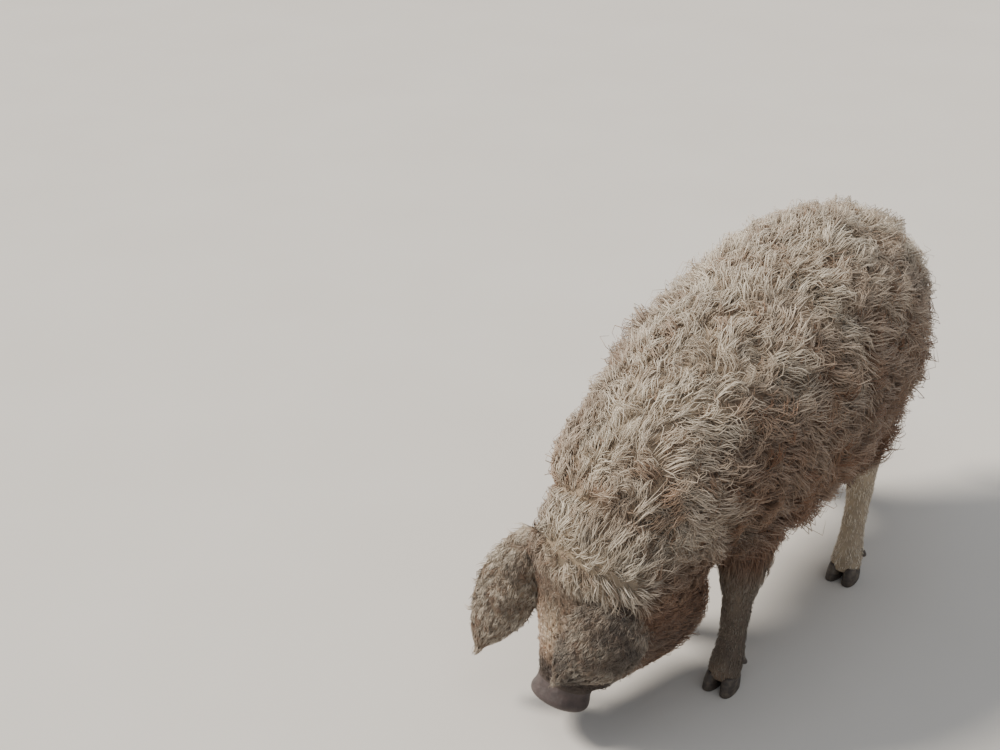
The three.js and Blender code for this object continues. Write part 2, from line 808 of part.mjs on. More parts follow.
for (const { place, rows, side, foot } of LEGS) {
  const up = vec(-HOOF_SLOPE, 0, 1).normalize();
  const top = foot.clone().add(vec(0, 0, TOE_HEIGHT)).addScaledVector(up, GAP);
  const shank = keepSide(legSolid(rows, side).subtract(bodyGrown), up, top);
  addPart(`leg_${place}`, shank, coat);
  for (const inner of [1, -1]) {
    const letter = inner > 0 ? "a" : "b";
    addPart(`claw_${place}_${letter}`, clawSolid(foot, inner), horn);
    addPart(`spur_${place}_${letter}`, spurSolid(foot, inner).subtract(shank), horn);
  }
}

const pig = new THREE.Group();
for (const part of parts) pig.add(part);
const box = new THREE.Box3().setFromObject(pig);
const boxCentre = box.getCenter(new THREE.Vector3());
pig.position.set(-boxCentre.x, -boxCentre.y, -box.min.z);

export default pig;
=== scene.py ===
import math

import bpy
import numpy as np
from mathutils import Matrix, Vector
from mathutils.bvhtree import BVHTree


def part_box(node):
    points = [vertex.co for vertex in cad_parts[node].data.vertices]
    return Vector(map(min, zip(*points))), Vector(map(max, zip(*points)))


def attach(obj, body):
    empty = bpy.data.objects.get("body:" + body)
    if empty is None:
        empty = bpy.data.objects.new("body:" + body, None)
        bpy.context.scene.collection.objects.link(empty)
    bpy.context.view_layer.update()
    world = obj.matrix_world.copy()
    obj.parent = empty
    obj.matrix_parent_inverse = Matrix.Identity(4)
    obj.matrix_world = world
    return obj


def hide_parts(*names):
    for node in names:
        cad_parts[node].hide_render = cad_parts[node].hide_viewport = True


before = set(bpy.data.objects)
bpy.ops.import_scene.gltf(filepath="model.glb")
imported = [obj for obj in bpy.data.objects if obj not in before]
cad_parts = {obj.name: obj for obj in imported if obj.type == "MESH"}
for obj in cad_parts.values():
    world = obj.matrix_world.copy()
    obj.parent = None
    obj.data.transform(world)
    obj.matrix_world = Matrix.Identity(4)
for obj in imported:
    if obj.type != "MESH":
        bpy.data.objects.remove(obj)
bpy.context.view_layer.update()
rng = np.random.default_rng(4107)

MM = 0.001

# Middle line of torso and neck over the distance s from the rump, and the outline about it
MIDDLE_X = [(0, -464), (24, -440), (64, -400), (124, -340), (214, -250), (314, -150), (424, -40),
            (544, 80), (644, 180), (724, 259), (790, 321), (850, 374), (906, 417)]
MIDDLE_Z = [(0, 425), (24, 425), (64, 421), (124, 419), (214, 411), (314, 404), (424, 396),
            (544, 391), (644, 393), (724, 396), (790, 383), (850, 355), (906, 317)]
HALF_WIDTH = [(0, 4), (24, 76), (64, 119), (124, 158), (214, 190), (314, 205), (424, 211),
              (544, 209), (644, 198), (724, 180), (790, 162), (850, 146), (906, 116)]
RISE = [(0, 4), (24, 80), (64, 130), (124, 177), (214, 215), (314, 238), (424, 244),
        (544, 232), (644, 208), (724, 180), (790, 158), (850, 136), (906, 106)]
DROP = [(0, 4), (24, 84), (64, 128), (124, 168), (214, 205), (314, 232), (424, 239),
        (544, 231), (644, 216), (724, 194), (790, 172), (850, 148), (906, 112)]
BODY_COAT = [(0, 16), (60, 22), (640, 24), (790, 20), (906, 16)]
BODY_END = 906
NECK_FROM = 716
NECK_YAW = 10

# The head on its own axis, over the distance from the middle of the skull towards the snout
HEAD_PITCH = 67
HEAD_YAW = 15
SKULL = np.array([419.0, -22.0, 299.0])
HEAD_WIDTH = [(-70, 90), (-35, 116), (0, 128), (40, 135), (80, 134), (120, 118), (160, 94),
              (200, 66), (240, 46), (262, 44)]
HEAD_RISE = [(-70, 78), (-35, 106), (0, 117), (40, 110), (80, 86), (120, 64), (160, 52),
             (200, 46), (240, 42), (262, 40)]
HEAD_DROP = [(-70, 94), (-35, 136), (0, 160), (40, 186), (80, 203), (120, 199), (160, 174),
             (200, 118), (240, 52), (262, 36)]
HEAD_COAT = [(-70, 16), (0, 14), (60, 12), (120, 6), (180, 2), (262, 1)]
HEAD_ENDS = (-70, 262)
SNOUT_RADII = (47, 43)
SNOUT_TIP = 258
SNOUT_FROM = 239  # the bare skin of the snout begins here
NOSTRIL_APART = 16  # from the middle of the disc
NOSTRIL_RADII = (8.2, 10)
NOSTRIL_DEPTH = 13
EYE_T = 78
EYE_ANGLE = 56
EYE_RADIUS = 11
EYE_SUNK = 3
LID_REACH = 13.5  # half the length of the opening between the lids

# Where the feet stand without a step, and the step that each takes forwards and outwards
LEG_Y = 112
FORE_X = 268
HIND_X = -268
STEPS = {"fore_left": (26, 0), "fore_right": (-14, 0), "hind_left": (178, 32), "hind_right": (12, 0)}

EARS = {
    "left": dict(width=128, root=(482, 64, 264), bend=(548, 37, 206), tip=(563, -32, 116),
                 across=(-0.21, 0.77, -0.53)),
    "right": dict(width=114, root=(450, -138, 280), bend=(502, -160, 192), tip=(537, -194, 88),
                  across=(-0.36, 0.82, -0.37)),
}
EAR_INSET = 5  # the blade's edge lies this far inside the solid's, for the hair beyond it
EAR_CUP = 20
EAR_OUTLINE = [(0, 0.5), (0.15, 0.72), (0.38, 0.97), (0.6, 0.92), (0.8, 0.66), (0.93, 0.36), (1, 0.12)]

TAIL_LENGTH = 215


def unit(v):
    return v / np.maximum(np.linalg.norm(v, axis=-1, keepdims=True), 1e-9)


def smooth(low, high, x):
    t = np.clip((np.asarray(x, float) - low) / (high - low), 0, 1)
    return t * t * (3 - 2 * t)


def bump(x, middle, spread):
    return np.exp(-(((x - middle) / spread) ** 2))


def along(rows, x):
    """Value at x on a smooth curve through the rows, level at both ends."""
    xs, ys = np.array(rows, float).T
    x = np.clip(np.asarray(x, float), xs[0], xs[-1])
    i = np.clip(np.searchsorted(xs, x, side="right") - 1, 0, len(xs) - 2)
    slope = np.zeros(len(xs))
    slope[1:-1] = (ys[2:] - ys[:-2]) / (xs[2:] - xs[:-2])
    span = xs[i + 1] - xs[i]
    t = (x - xs[i]) / span
    rise = (t**3 - 2 * t**2 + t) * slope[i] + (t**3 - t**2) * slope[i + 1]
    return (2 * t**3 - 3 * t**2 + 1) * ys[i] + (3 * t**2 - 2 * t**3) * ys[i + 1] + span * rise


def inset(rows, l, depth):
    """Half size at l from a table, less the depth under the surface."""
    return np.maximum(1, along(rows, l) - depth)


def per_mm_round(radius, least):
    """Degrees per millimetre round a form of this radius."""
    return 180 / (np.pi * np.maximum(radius, least))


def turn_z(v, degrees):
    a = np.radians(degrees)
    c, s = np.cos(a), np.sin(a)
    return np.stack([c * v[..., 0] - s * v[..., 1], s * v[..., 0] + c * v[..., 1], v[..., 2]], -1)


class Surface:
    """A form that carries hair. Places on it are l along it and a across it, from -wide to wide."""

    wide = 180
    buried = 30  # a root further under the skin than this lies inside another part


class Body(Surface):
    """Torso and neck: l is the distance from the rump, a the angle from the back over the left."""

    ends = (0, BODY_END)

    def point(self, l, a, depth):
        l, a, depth = np.broadcast_arrays(np.asarray(l, float), a, depth)
        x, z = along(MIDDLE_X, l), along(MIDDLE_Z, l)
        near, far = np.clip(l - 24, 0, BODY_END), np.clip(l + 24, 0, BODY_END)
        run = np.stack([along(MIDDLE_X, far) - along(MIDDLE_X, near), 0 * l,
                        along(MIDDLE_Z, far) - along(MIDDLE_Z, near)], -1)
        run[l < 124] = (1, 0, 0)
        run = unit(run)
        back = np.stack([-run[..., 2], 0 * l, run[..., 0]], -1)
        up = np.cos(np.radians(a))
        height = np.where(up > 0, inset(RISE, l, depth), inset(DROP, l, depth)) * up
        side = inset(HALF_WIDTH, l, depth) * (1 - 0.07 * up) * np.sin(np.radians(a))
        p = np.stack([x, side, z], -1) + back * height[..., None]
        share = smooth(NECK_FROM - 60, BODY_END, l)
        pivot = np.array([along(MIDDLE_X, NECK_FROM), 0, 0])
        return turn_z(p - pivot, -NECK_YAW * share) + pivot

    def per_mm(self, l):
        return per_mm_round((along(HALF_WIDTH, l) + along(RISE, l) + along(DROP, l)) / 3, 30)


def head_turn(v):
    return turn_z(np.array(v, float), -HEAD_YAW)


PITCH = math.radians(HEAD_PITCH)
HEAD_RUN = head_turn((math.cos(PITCH), 0, -math.sin(PITCH)))
HEAD_BACK = head_turn((math.sin(PITCH), 0, math.cos(PITCH)))
HEAD_LEFT = head_turn((0, 1, 0))


class Head(Surface):
    """Head without its ears: l is the distance along the skull's axis towards the snout."""

    ends = HEAD_ENDS

    def point(self, l, a, depth):
        l, a, depth = np.broadcast_arrays(np.asarray(l, float), a, depth)
        up = np.cos(np.radians(a))
        height = np.where(up > 0, inset(HEAD_RISE, l, depth), inset(HEAD_DROP, l, depth)) * up
        side = inset(HEAD_WIDTH, l, depth) * (1 - 0.1 * up) * np.sin(np.radians(a))
        return SKULL + l[..., None] * HEAD_RUN + height[..., None] * HEAD_BACK + side[..., None] * HEAD_LEFT

    def per_mm(self, l):
        return per_mm_round((along(HEAD_WIDTH, l) + along(HEAD_RISE, l) + along(HEAD_DROP, l)) / 3, 30)


class Leg(Surface):
    """One leg: l is the distance down it, a the angle from its front.

    Its rows hold x, y, z, half the size fore and aft, and half the size across.
    """

    buried = 15

    def __init__(self, rows, side):
        rows = np.array(rows, float)
        rows[:, 1] *= side
        steps = np.linalg.norm(np.diff(rows[:, :3], axis=0), axis=1)
        self.at = np.concatenate([[0], np.cumsum(steps)])
        self.rows = rows
        self.ends = (0, self.at[-1])

    def value(self, column, l):
        return along(np.stack([self.at, self.rows[:, column]], -1), l)

    def point(self, l, a, depth):
        l, a, depth = np.broadcast_arrays(np.asarray(l, float), a, depth)
        middle = np.stack([self.value(k, l) for k in range(3)], -1)
        near, far = np.clip(l - 8, *self.ends), np.clip(l + 8, *self.ends)
        run = unit(np.stack([self.value(0, far) - self.value(0, near), 0 * l,
                             self.value(2, far) - self.value(2, near)], -1))
        fore = np.stack([-run[..., 2], 0 * l, run[..., 0]], -1)
        swell, side = (np.maximum(1, self.value(column, l) - depth) for column in (3, 4))
        p = middle + fore * (swell * np.cos(np.radians(a)))[..., None]
        p[..., 1] += side * np.sin(np.radians(a))
        return p

    def per_mm(self, l):
        return per_mm_round((self.value(3, l) + self.value(4, l)) / 2, 12)


def foreleg(step):
    return [(236, LEG_Y - 8, 300, 74, 50), (240, LEG_Y - 4, 240, 62, 45),
            (246 + step * 0.3, LEG_Y, 190, 46, 36), (250 + step * 0.5, LEG_Y, 150, 32, 28),
            (250 + step * 0.65, LEG_Y, 122, 29, 28), (250 + step * 0.8, LEG_Y, 92, 25, 25),
            (254 + step * 0.9, LEG_Y, 62, 26, 27), (262 + step, LEG_Y, 40, 27, 29),
            (FORE_X + step, LEG_Y, 14, 26, 29)]


def hindleg(step, out):
    return [(-262 + step * 0.3, LEG_Y - 14, 350, 105, 62),
            (-262 + step * 0.55, LEG_Y - 8 + out * 0.2, 292, 86, 56),
            (-272 + step * 0.72, LEG_Y - 2 + out * 0.45, 236, 60, 44),
            (-292 + step * 0.84, LEG_Y + out * 0.62, 192, 42, 32),
            (-302 + step * 0.91, LEG_Y + out * 0.74, 158, 33, 26),
            (-296 + step * 0.95, LEG_Y + out * 0.84, 124, 26, 23),
            (-288 + step * 0.98, LEG_Y + out * 0.92, 92, 23, 23),
            (-282 + step, LEG_Y + out, 62, 25, 26), (-274 + step, LEG_Y + out, 40, 27, 29),
            (HIND_X + step, LEG_Y + out, 14, 26, 29)]


BODY = Body()
HEAD = Head()
LEGS, FEET = {}, {}
for place, (step, out) in STEPS.items():
    side = 1 if place.endswith("left") else -1
    if place.startswith("fore"):
        LEGS[place] = Leg(foreleg(step), side)
        FEET[place] = (FORE_X + step, side * (LEG_Y + out))
    else:
        LEGS[place] = Leg(hindleg(step, out), side)
        FEET[place] = (HIND_X + step, side * (LEG_Y + out))


def eye_centre(side):
    outer = HEAD.point(EYE_T, side * EYE_ANGLE, 0)
    out = unit(outer - (SKULL + EYE_T * HEAD_RUN))
    return outer - out * (EYE_RADIUS - 2), out


# Where the construction frame lies in the part's frame: the left eye is in both
low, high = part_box("eye_left")
SHIFT = (np.array(low) + np.array(high)) / 2 - eye_centre(1)[0] * MM


class Ear(Surface):
    """An ear blade: l is the distance from the root, a the place across it from -1 to 1."""

    wide = 1
    buried = None

    def __init__(self, name):
        spec = EARS[name]
        self.root, bend, self.tip = (np.array(spec[k], float) for k in ("root", "bend", "tip"))
        self.knee = 2 * bend - (self.root + self.tip) / 2
        self.across = np.array(spec["across"])
        self.half = spec["width"] / 2 - EAR_INSET
        self.length = np.linalg.norm(bend - self.root) + np.linalg.norm(self.tip - bend)
        self.ends = (0, self.length)
        self.inward = unit(SKULL + 20 * HEAD_RUN - self.root)

    def frame_at(self, t):
        t = np.asarray(t, float)[..., None]
        middle = (1 - t) ** 2 * self.root + 2 * t * (1 - t) * self.knee + t**2 * self.tip
        run = unit(2 * (1 - t) * (self.knee - self.root) + 2 * t * (self.tip - self.knee))
        face = unit(np.cross(run, self.across))
        across = unit(np.cross(face, run))
        face = face * np.where(face[..., :1] < 0, -1, 1)
        return middle, run, face, across

    def point(self, l, a, depth):
        l, a, depth = np.broadcast_arrays(np.asarray(l, float), a, depth)
        t = np.clip(l / self.length, 0, 1)
        middle, run, face, across = self.frame_at(t)
        half = self.half * along(EAR_OUTLINE, t)
        cup = -EAR_CUP * a * a * (1 - 0.35 * t)
        ripple = 2.2 * np.sin(t * 9 + a * 2) * np.abs(a)
        past = np.maximum(0, l - self.length)
        sunk = np.minimum(0, l)
        half = half * (1 + sunk / 60)
        return (middle + across * (half * a)[..., None] + face * (cup + ripple - depth)[..., None]
                + run * past[..., None] - self.inward * sunk[..., None])

    def per_mm(self, l):
        half = self.half * along(EAR_OUTLINE, np.clip(l / self.length, 0, 0.93))
        return 1 / np.maximum(half, 14)


# Meshes
def put(name, data):
    """Adds an object to the scene."""
    obj = bpy.data.objects.new(name, data)
    bpy.context.scene.collection.objects.link(obj)
    return obj


def add_mesh(name, points, faces, materials):
    """points in millimetres of the construction frame; faces as an array of triangles or quads."""
    faces = np.asarray(faces)
    count, sides = faces.shape
    mesh = bpy.data.meshes.new(name)
    mesh.vertices.add(len(points))
    mesh.vertices.foreach_set("co", (np.asarray(points) * MM + SHIFT).astype(np.float32).ravel())
    mesh.loops.add(count * sides)
    mesh.loops.foreach_set("vertex_index", faces.astype(np.int32).ravel())
    mesh.polygons.add(count)
    mesh.polygons.foreach_set("loop_start", np.arange(0, count * sides, sides, dtype=np.int32))
    mesh.polygons.foreach_set("loop_total", np.full(count, sides, dtype=np.int32))
    mesh.polygons.foreach_set("use_smooth", np.full(count, True))
    mesh.update(calc_edges=True)
    mesh.validate()
    for material in materials:
        mesh.materials.append(material)
    return put(name, mesh)


def tube_faces(rings, sides):
    """Quads between rings of points, each ring closed on itself."""
    r, k = np.meshgrid(np.arange(rings - 1), np.arange(sides), indexing="ij")
    k2 = (k + 1) % sides
    quads = np.stack([r * sides + k, r * sides + k2, (r + 1) * sides + k2, (r + 1) * sides + k], -1)
    return quads.reshape(-1, 4)


def closed_tube(grid):
    """Points and triangles of a closed skin over a grid of rings."""
    rings, sides = grid.shape[:2]
    points = np.concatenate([grid.reshape(-1, 3), [grid[0].mean(0)], [grid[-1].mean(0)]])
    quads = tube_faces(rings, sides)
    k = np.arange(sides)
    k2 = (k + 1) % sides
    last = (rings - 1) * sides
    start = np.stack([np.full(sides, rings * sides), k2, k], -1)
    end = np.stack([np.full(sides, rings * sides + 1), last + k, last + k2], -1)
    tris = np.concatenate([quads[:, [0, 1, 2]], quads[:, [0, 2, 3]], start, end])
    a, b, c = (points[tris[:, i]] for i in range(3))
    volume = np.einsum("ij,ij->", a, np.cross(b, c))
    return points, tris if volume > 0 else tris[:, ::-1]


def surface_grid(surface, lengths, angles, depth):
    l, a = np.meshgrid(lengths, angles, indexing="ij")
    return surface.point(l, a, depth(l) if callable(depth) else depth)


def joined(parts):
    """One set of points and faces out of several."""
    points, faces, first = [], [], 0
    for p, f in parts:
        points.append(p)
        faces.append(f + first)
        first += len(p)
    return np.concatenate(points), np.concatenate(faces)


def set_marks(obj, dark, rust, tone, tip):
    """Marks of skin and coat: share of dark, share of rust (both partly painted shade), tone of the hair,
    place along it.
    """
    marks = obj.data.attributes.new("marks", "FLOAT_COLOR", "POINT")
    values = np.stack(np.broadcast_arrays(dark, rust, tone, tip), -1)
    marks.data.foreach_set("color", values.astype(np.float32).ravel())


def points_of(obj):
    p = np.empty(len(obj.data.vertices) * 3, dtype=np.float32)
    obj.data.vertices.foreach_get("co", p)
    return (p.reshape(-1, 3) - SHIFT) / MM


# Markings, the same for skin and coat, with painted shade and light among them: places in the construction
# frame, millimetres
def lumps(p, scale, seed):
    """Slow variation between about -1 and 1: waves about scale millimetres long, summed."""
    draw = np.random.default_rng(seed)
    total = np.zeros(p.shape[:-1])
    for _ in range(5):
        ways = unit(draw.normal(size=3)) * 2 * np.pi / (scale * draw.uniform(0.7, 1.4))
        total += np.sin(p @ ways + draw.uniform(0, 2 * np.pi) + 1.3 * np.sin(p @ ways[[1, 2, 0]] * 0.9))
    return total / 2.6


def markings(p, on_ear=False):
    """Share of dark slate-brown and of rust-brown at points of skin or coat, partly painted shade and light.
    """
    x, y, z = np.moveaxis(np.asarray(p, float), -1, 0)
    if on_ear:
        # Painted light and shade: the right ear is lighter, as if lit, and the left one darker, as if shaded
        dark = 0.7 - 0.36 * smooth(-80, -140, y) + 0.16 * lumps(p, 70, 5)
        return np.clip(dark, 0, 1), np.clip(0.14 + 0.14 * lumps(p, 60, 11), 0, 1)
    along_head = (p - SKULL) @ HEAD_RUN
    from_head = np.linalg.norm(p - (SKULL + np.clip(along_head, -40, 250)[..., None] * HEAD_RUN), axis=-1)
    on_head = smooth(215, 165, from_head) * smooth(-60, 10, along_head)
    # The face is darker: painted shade over its own grey-brown
    face = on_head * smooth(60, 120, along_head)
    legs = smooth(250, 170, z) * smooth(330, 300, x)
    # The forelegs are darker for their own mud and for painted shade
    fore = legs * smooth(100, 160, x)
    hind = legs * smooth(20, -30, x)
    # Flanks and belly: their own browner coat, darkened further by painted shade where the light falls off
    low = smooth(330, 215, z) * (1 - legs)
    flank_tint_and_shade = smooth(0.2, 0.95, np.abs(y) / 190) * smooth(640, 400, z) * (1 - legs)
    dark = 0.02 + 0.1 * lumps(p, 210, 5) + 0.26 * flank_tint_and_shade + 0.18 * low + 0.26 * face + 0.88 * fore
    dark += 0.1 * on_head * (1 - face) + 0.1 * on_head * smooth(0.2, 0.8, lumps(p, 90, 8))
    pale = hind * smooth(-330, -100, x) * smooth(0, 40, y) + 0.4 * hind
    dark -= 0.3 * pale
    # Painted highlight: the right side of the snout is paler, as if lit
    lit_snout_side = bump(along_head, 165, 40) * on_head * smooth(0, -18, (p - SKULL) @ HEAD_LEFT)
    dark -= 0.5 * lit_snout_side
    muzzle = smooth(196, 226, along_head) * smooth(215, 165, from_head)
    for side in (1, -1):
        muzzle = muzzle + 0.8 * smooth(28, 14, np.linalg.norm(p - eye_centre(side)[0], axis=-1))
    dark += 0.9 * muzzle
    # Rust on the flanks and belly is partly painted shade
    rust = 0.1 + 0.16 * lumps(p, 160, 11) + 0.6 * flank_tint_and_shade + 0.45 * low + 0.2 * on_head
    forehead = on_head * smooth(10, 80, (p - SKULL) @ HEAD_BACK)
    rust -= 0.4 * pale + 0.1 * fore + 0.3 * lit_snout_side + 0.42 * forehead
    return np.clip(dark, 0, 1), np.clip(rust, 0, 1)


# Materials
def linear(hex_colour):
    """An sRGB hex colour as linear RGBA."""
    parts = [int(hex_colour[i:i + 2], 16) / 255 for i in (1, 3, 5)]
    curve = [c / 12.92 if c <= 0.04045 else ((c + 0.055) / 1.055) ** 2.4 for c in parts]
    return (*curve, 1.0)


def feed(tree, made, inputs):
    """Links a node's inputs to sockets, or gives them their values."""
    for socket, value in inputs.items():
        if isinstance(value, bpy.types.NodeSocket):
            tree.links.new(value, made.inputs[socket])
        else:
            made.inputs[socket].default_value = value


def node(tree, kind, inputs=None, **settings):
    """Adds a node with its settings and links."""
    made = tree.nodes.new(kind)
    for key, value in settings.items():
        setattr(made, key, value)
    feed(tree, made, inputs or {})
    return made


def new_material(name):
    material = bpy.data.materials.new(name)
    material.use_nodes = True
    tree = material.node_tree
    tree.nodes.clear()
    shader = node(tree, "ShaderNodeBsdfPrincipled")
    node(tree, "ShaderNodeOutputMaterial", {"Surface": shader.outputs[0]})
    place = node(tree, "ShaderNodeTexCoord").outputs["Object"]
    return material, tree, shader, place


SHARE, FIRST, SECOND, MIXED = 0, 6, 7, 2  # sockets of a mix of two colours
METRE = 1000  # millimetres; a noise or cell pattern of scale 1 has grains a metre across
BANDS = 314  # millimetres between the bands of a wave pattern of scale 1

CREAM = linear("#f2e8d5")
ASH = linear("#a3907a")
SLATE_BROWN = linear("#43382f")
RUST = linear("#8f6546")
PAINTED_ROOT_SHADE = linear("#7a6650")


def marked_colour(tree, marks, tones):
    """Colour of hair or hide from the marks that both carry, painted shade among them, in tones cream, ash,
    rust and slate.
    """
    dark, rusty, tone = node(tree, "ShaderNodeSeparateColor", {0: marks.outputs["Color"]}).outputs
    colour, ash, rust, slate = tones
    for share, other in ((tone, ash), (rusty, rust), (dark, slate)):
        colour = node(tree, "ShaderNodeMix", {SHARE: share, FIRST: colour, SECOND: other},
                      data_type="RGBA").outputs[MIXED]
    return colour


def clouded(tree, place, colour, other, cloud, detail, start=0.0, full=1.0, most=1.0):
    """The colour with clouds of another one, about as many millimetres across as cloud says."""
    noise = node(tree, "ShaderNodeTexNoise", {"Vector": place, "Scale": METRE / cloud, "Detail": detail})
    share = node(tree, "ShaderNodeMapRange", {
        "Value": noise.outputs[0], "From Min": start, "From Max": full, "To Max": most})
    return node(tree, "ShaderNodeMix", {SHARE: share.outputs[0], FIRST: colour, SECOND: linear(other)},
                data_type="RGBA").outputs[MIXED]


def bristle_coat():
    """Mangalica bristle: crimped, unwashed hair, dusty, with a soft gloss and painted shade darkening each
    lock towards its root.
    """
    material, tree, shader, place = new_material("curled_bristle_hair")
    marks = node(tree, "ShaderNodeAttribute", attribute_name="marks")
    colour = marked_colour(tree, marks, (CREAM, ASH, RUST, SLATE_BROWN))
    # Painted shade: each lock darkens towards its root, where the locks shade each other
    root_shade_share = node(tree, "ShaderNodeMapRange", {
        "Value": marks.outputs["Alpha"], "From Min": 0.0, "From Max": 0.55, "To Min": 0.5, "To Max": 0.0})
    colour = node(tree, "ShaderNodeMix", {SHARE: root_shade_share.outputs[0], FIRST: colour, SECOND: PAINTED_ROOT_SHADE},
                  data_type="RGBA", blend_type="MULTIPLY").outputs[MIXED]
    colour = clouded(tree, place, colour, "#94826f", cloud=26.3, detail=4.0, start=0.5, full=0.72, most=0.3)
    feed(tree, shader, {"Base Color": colour, "Roughness": 0.52, "IOR": 1.55, "Sheen Weight": 0.12,
                        "Sheen Roughness": 0.4})
    return material


def hide():
    """Pig hide under the hair: matt slate skin, finely creased and felted with short hair.

    The short hair stands about 1.2 mm apart and is drawn twice as coarse so that it shows.
    """
    material, tree, shader, place = new_material("haired_slate_hide")
    marks = node(tree, "ShaderNodeAttribute", attribute_name="marks")
    tones = [linear(tone) for tone in ("#b5a58c", "#8f7f6c", "#75523c", "#3d332d")]
    colour = marked_colour(tree, marks, tones)
    colour = clouded(tree, place, colour, "#4a3f39", cloud=18.2, detail=6.0, start=0.4, full=0.75, most=0.4)
    strands = node(tree, "ShaderNodeTexNoise", {"Vector": place, "Scale": METRE / 2.4, "Detail": 3.0})
    creases = node(tree, "ShaderNodeTexVoronoi", {"Vector": place, "Scale": METRE / 6.25},
                   feature="DISTANCE_TO_EDGE")
    rough = node(tree, "ShaderNodeMath", {0: strands.outputs[0], 1: creases.outputs[0]}, operation="ADD")
    relief = node(tree, "ShaderNodeBump", {"Height": rough.outputs[0], "Strength": 0.45, "Distance": 0.0012})
    feed(tree, shader, {"Base Color": colour, "Roughness": 0.68, "IOR": 1.45, "Normal": relief.outputs[0]})
    return material


def snout_leather():
    """Bare snout skin: dark, slightly moist, with fine pits and creases about 1.6 mm apart."""
    material, tree, shader, place = new_material("moist_snout_skin")
    colour = clouded(tree, place, linear("#272122"), "#5b4d4a", cloud=11.1, detail=5.0)
    pits = node(tree, "ShaderNodeTexVoronoi", {"Vector": place, "Scale": METRE / 1.6},
                feature="DISTANCE_TO_EDGE")
    relief = node(tree, "ShaderNodeBump", {"Height": pits.outputs[0], "Strength": 0.8, "Distance": 0.0015})
    feed(tree, shader, {"Base Color": colour, "Roughness": 0.42, "IOR": 1.42, "Coat Weight": 0.18,
                        "Coat Roughness": 0.3, "Normal": relief.outputs[0]})
    return material


def hoof_horn():
    """Hoof horn: dull dark keratin with growth rings about 6 mm apart and scuffed dust."""
    material, tree, shader, place = new_material("worn_hoof_horn")
    rings = node(tree, "ShaderNodeTexWave", {
        "Vector": place, "Scale": BANDS / 6, "Distortion": 2.2, "Detail": 3.0}, bands_direction="Z")
    colour = node(tree, "ShaderNodeMix", {
        SHARE: rings.outputs["Fac"], FIRST: linear("#38312c"), SECOND: linear("#433a33")},
        data_type="RGBA").outputs[MIXED]
    colour = clouded(tree, place, colour, "#8a7d6c", cloud=11.8, detail=6.0, start=0.45, full=0.75, most=0.45)
    relief = node(tree, "ShaderNodeBump", {
        "Height": rings.outputs["Fac"], "Strength": 0.35, "Distance": 0.0008})
    feed(tree, shader, {"Base Color": colour, "Roughness": 0.56, "IOR": 1.54, "Normal": relief.outputs[0]})
    return material


def wet_eye():
    """Eye: brown iris round a wide pupil under a clear wet cornea."""
    material, tree, shader, _ = new_material("wet_brown_eye")
    ring = node(tree, "ShaderNodeAttribute", attribute_name="marks")
    ramp = node(tree, "ShaderNodeValToRGB", {"Fac": ring.outputs["Alpha"]})
    stops = ramp.color_ramp.elements
    stops[0].color, stops[1].color = linear("#050403"), linear("#6f5d52")
    for position, colour in ((0.36, "#060403"), (0.42, "#3a2213"), (0.7, "#4b2d18"), (0.78, "#1d130e")):
        stops.new(position).color = linear(colour)
    feed(tree, shader, {"Base Color": ramp.outputs[0], "Roughness": 0.08, "IOR": 1.38, "Coat Weight": 1.0,
                        "Coat Roughness": 0.03})
    return material


def floor_paint():
    """Studio floor: pale matt paint, faintly uneven."""
    material, tree, shader, place = new_material("pale_matt_floor_paint")
    colour = clouded(tree, place, linear("#c8c5bf"), "#d0cdc8", cloud=333, detail=4.0)
    feed(tree, shader, {"Base Color": colour, "Roughness": 0.85})
    return material


COAT = bristle_coat()
HIDE = hide()
SNOUT = snout_leather()
HORN = hoof_horn()
EYE = wet_eye()
FLOOR = floor_paint()


# Skin: torso, neck, legs and a blunt head in one surface, with the finely shaped head over it
SKIN_VOXEL = 0.0053
HEAD_TUCK = 2.5  # how far the blunt head lies under the fine one
BRIDGE = (790, 14)  # places on the body and the head between which the nape is filled
LEG_COAT = 5


def body_coat(l):
    return along(BODY_COAT, l)


def head_coat(l):
    return along(HEAD_COAT, l)


def leg_coat(l):
    return LEG_COAT * (1 - 0.5 * smooth(150, 260, l))


def blunt_union():
    """Torso, neck, legs and a plain head, remeshed into one surface and smoothed."""
    around = np.linspace(-180, 180, 96, endpoint=False)
    body_l = np.concatenate([np.linspace(2, 60, 14), np.linspace(70, BODY_END, 84)])
    parts = [closed_tube(surface_grid(BODY, body_l, around, body_coat))]
    head_l = np.linspace(HEAD_ENDS[0], 232, 70)
    parts.append(closed_tube(surface_grid(HEAD, head_l, around, lambda l: head_coat(l) + HEAD_TUCK)))
    bridge_from = BODY.point(BRIDGE[0], around, body_coat(BRIDGE[0]) + 3)
    bridge_to = HEAD.point(BRIDGE[1], around, head_coat(BRIDGE[1]) + 4)
    share = np.linspace(0, 1, 14)[:, None, None]
    parts.append(closed_tube((1 - share) * bridge_from + share * bridge_to))
    for leg in LEGS.values():
        leg_l = np.linspace(0, leg.ends[1], 60)
        parts.append(closed_tube(surface_grid(leg, leg_l, around[::2], leg_coat)))
    obj = add_mesh("skin", *joined(parts), [HIDE, SNOUT])
    remesh = obj.modifiers.new("one surface", "REMESH")
    remesh.mode = "VOXEL"
    remesh.voxel_size = SKIN_VOXEL
    remesh.use_smooth_shade = True
    soften = obj.modifiers.new("soften", "SMOOTH")
    soften.factor = 0.5
    soften.iterations = 14
    made = bpy.data.meshes.new_from_object(obj.evaluated_get(bpy.context.evaluated_depsgraph_get()))
    obj.modifiers.clear()
    obj.data = made
    made.name = "skin"
    return obj


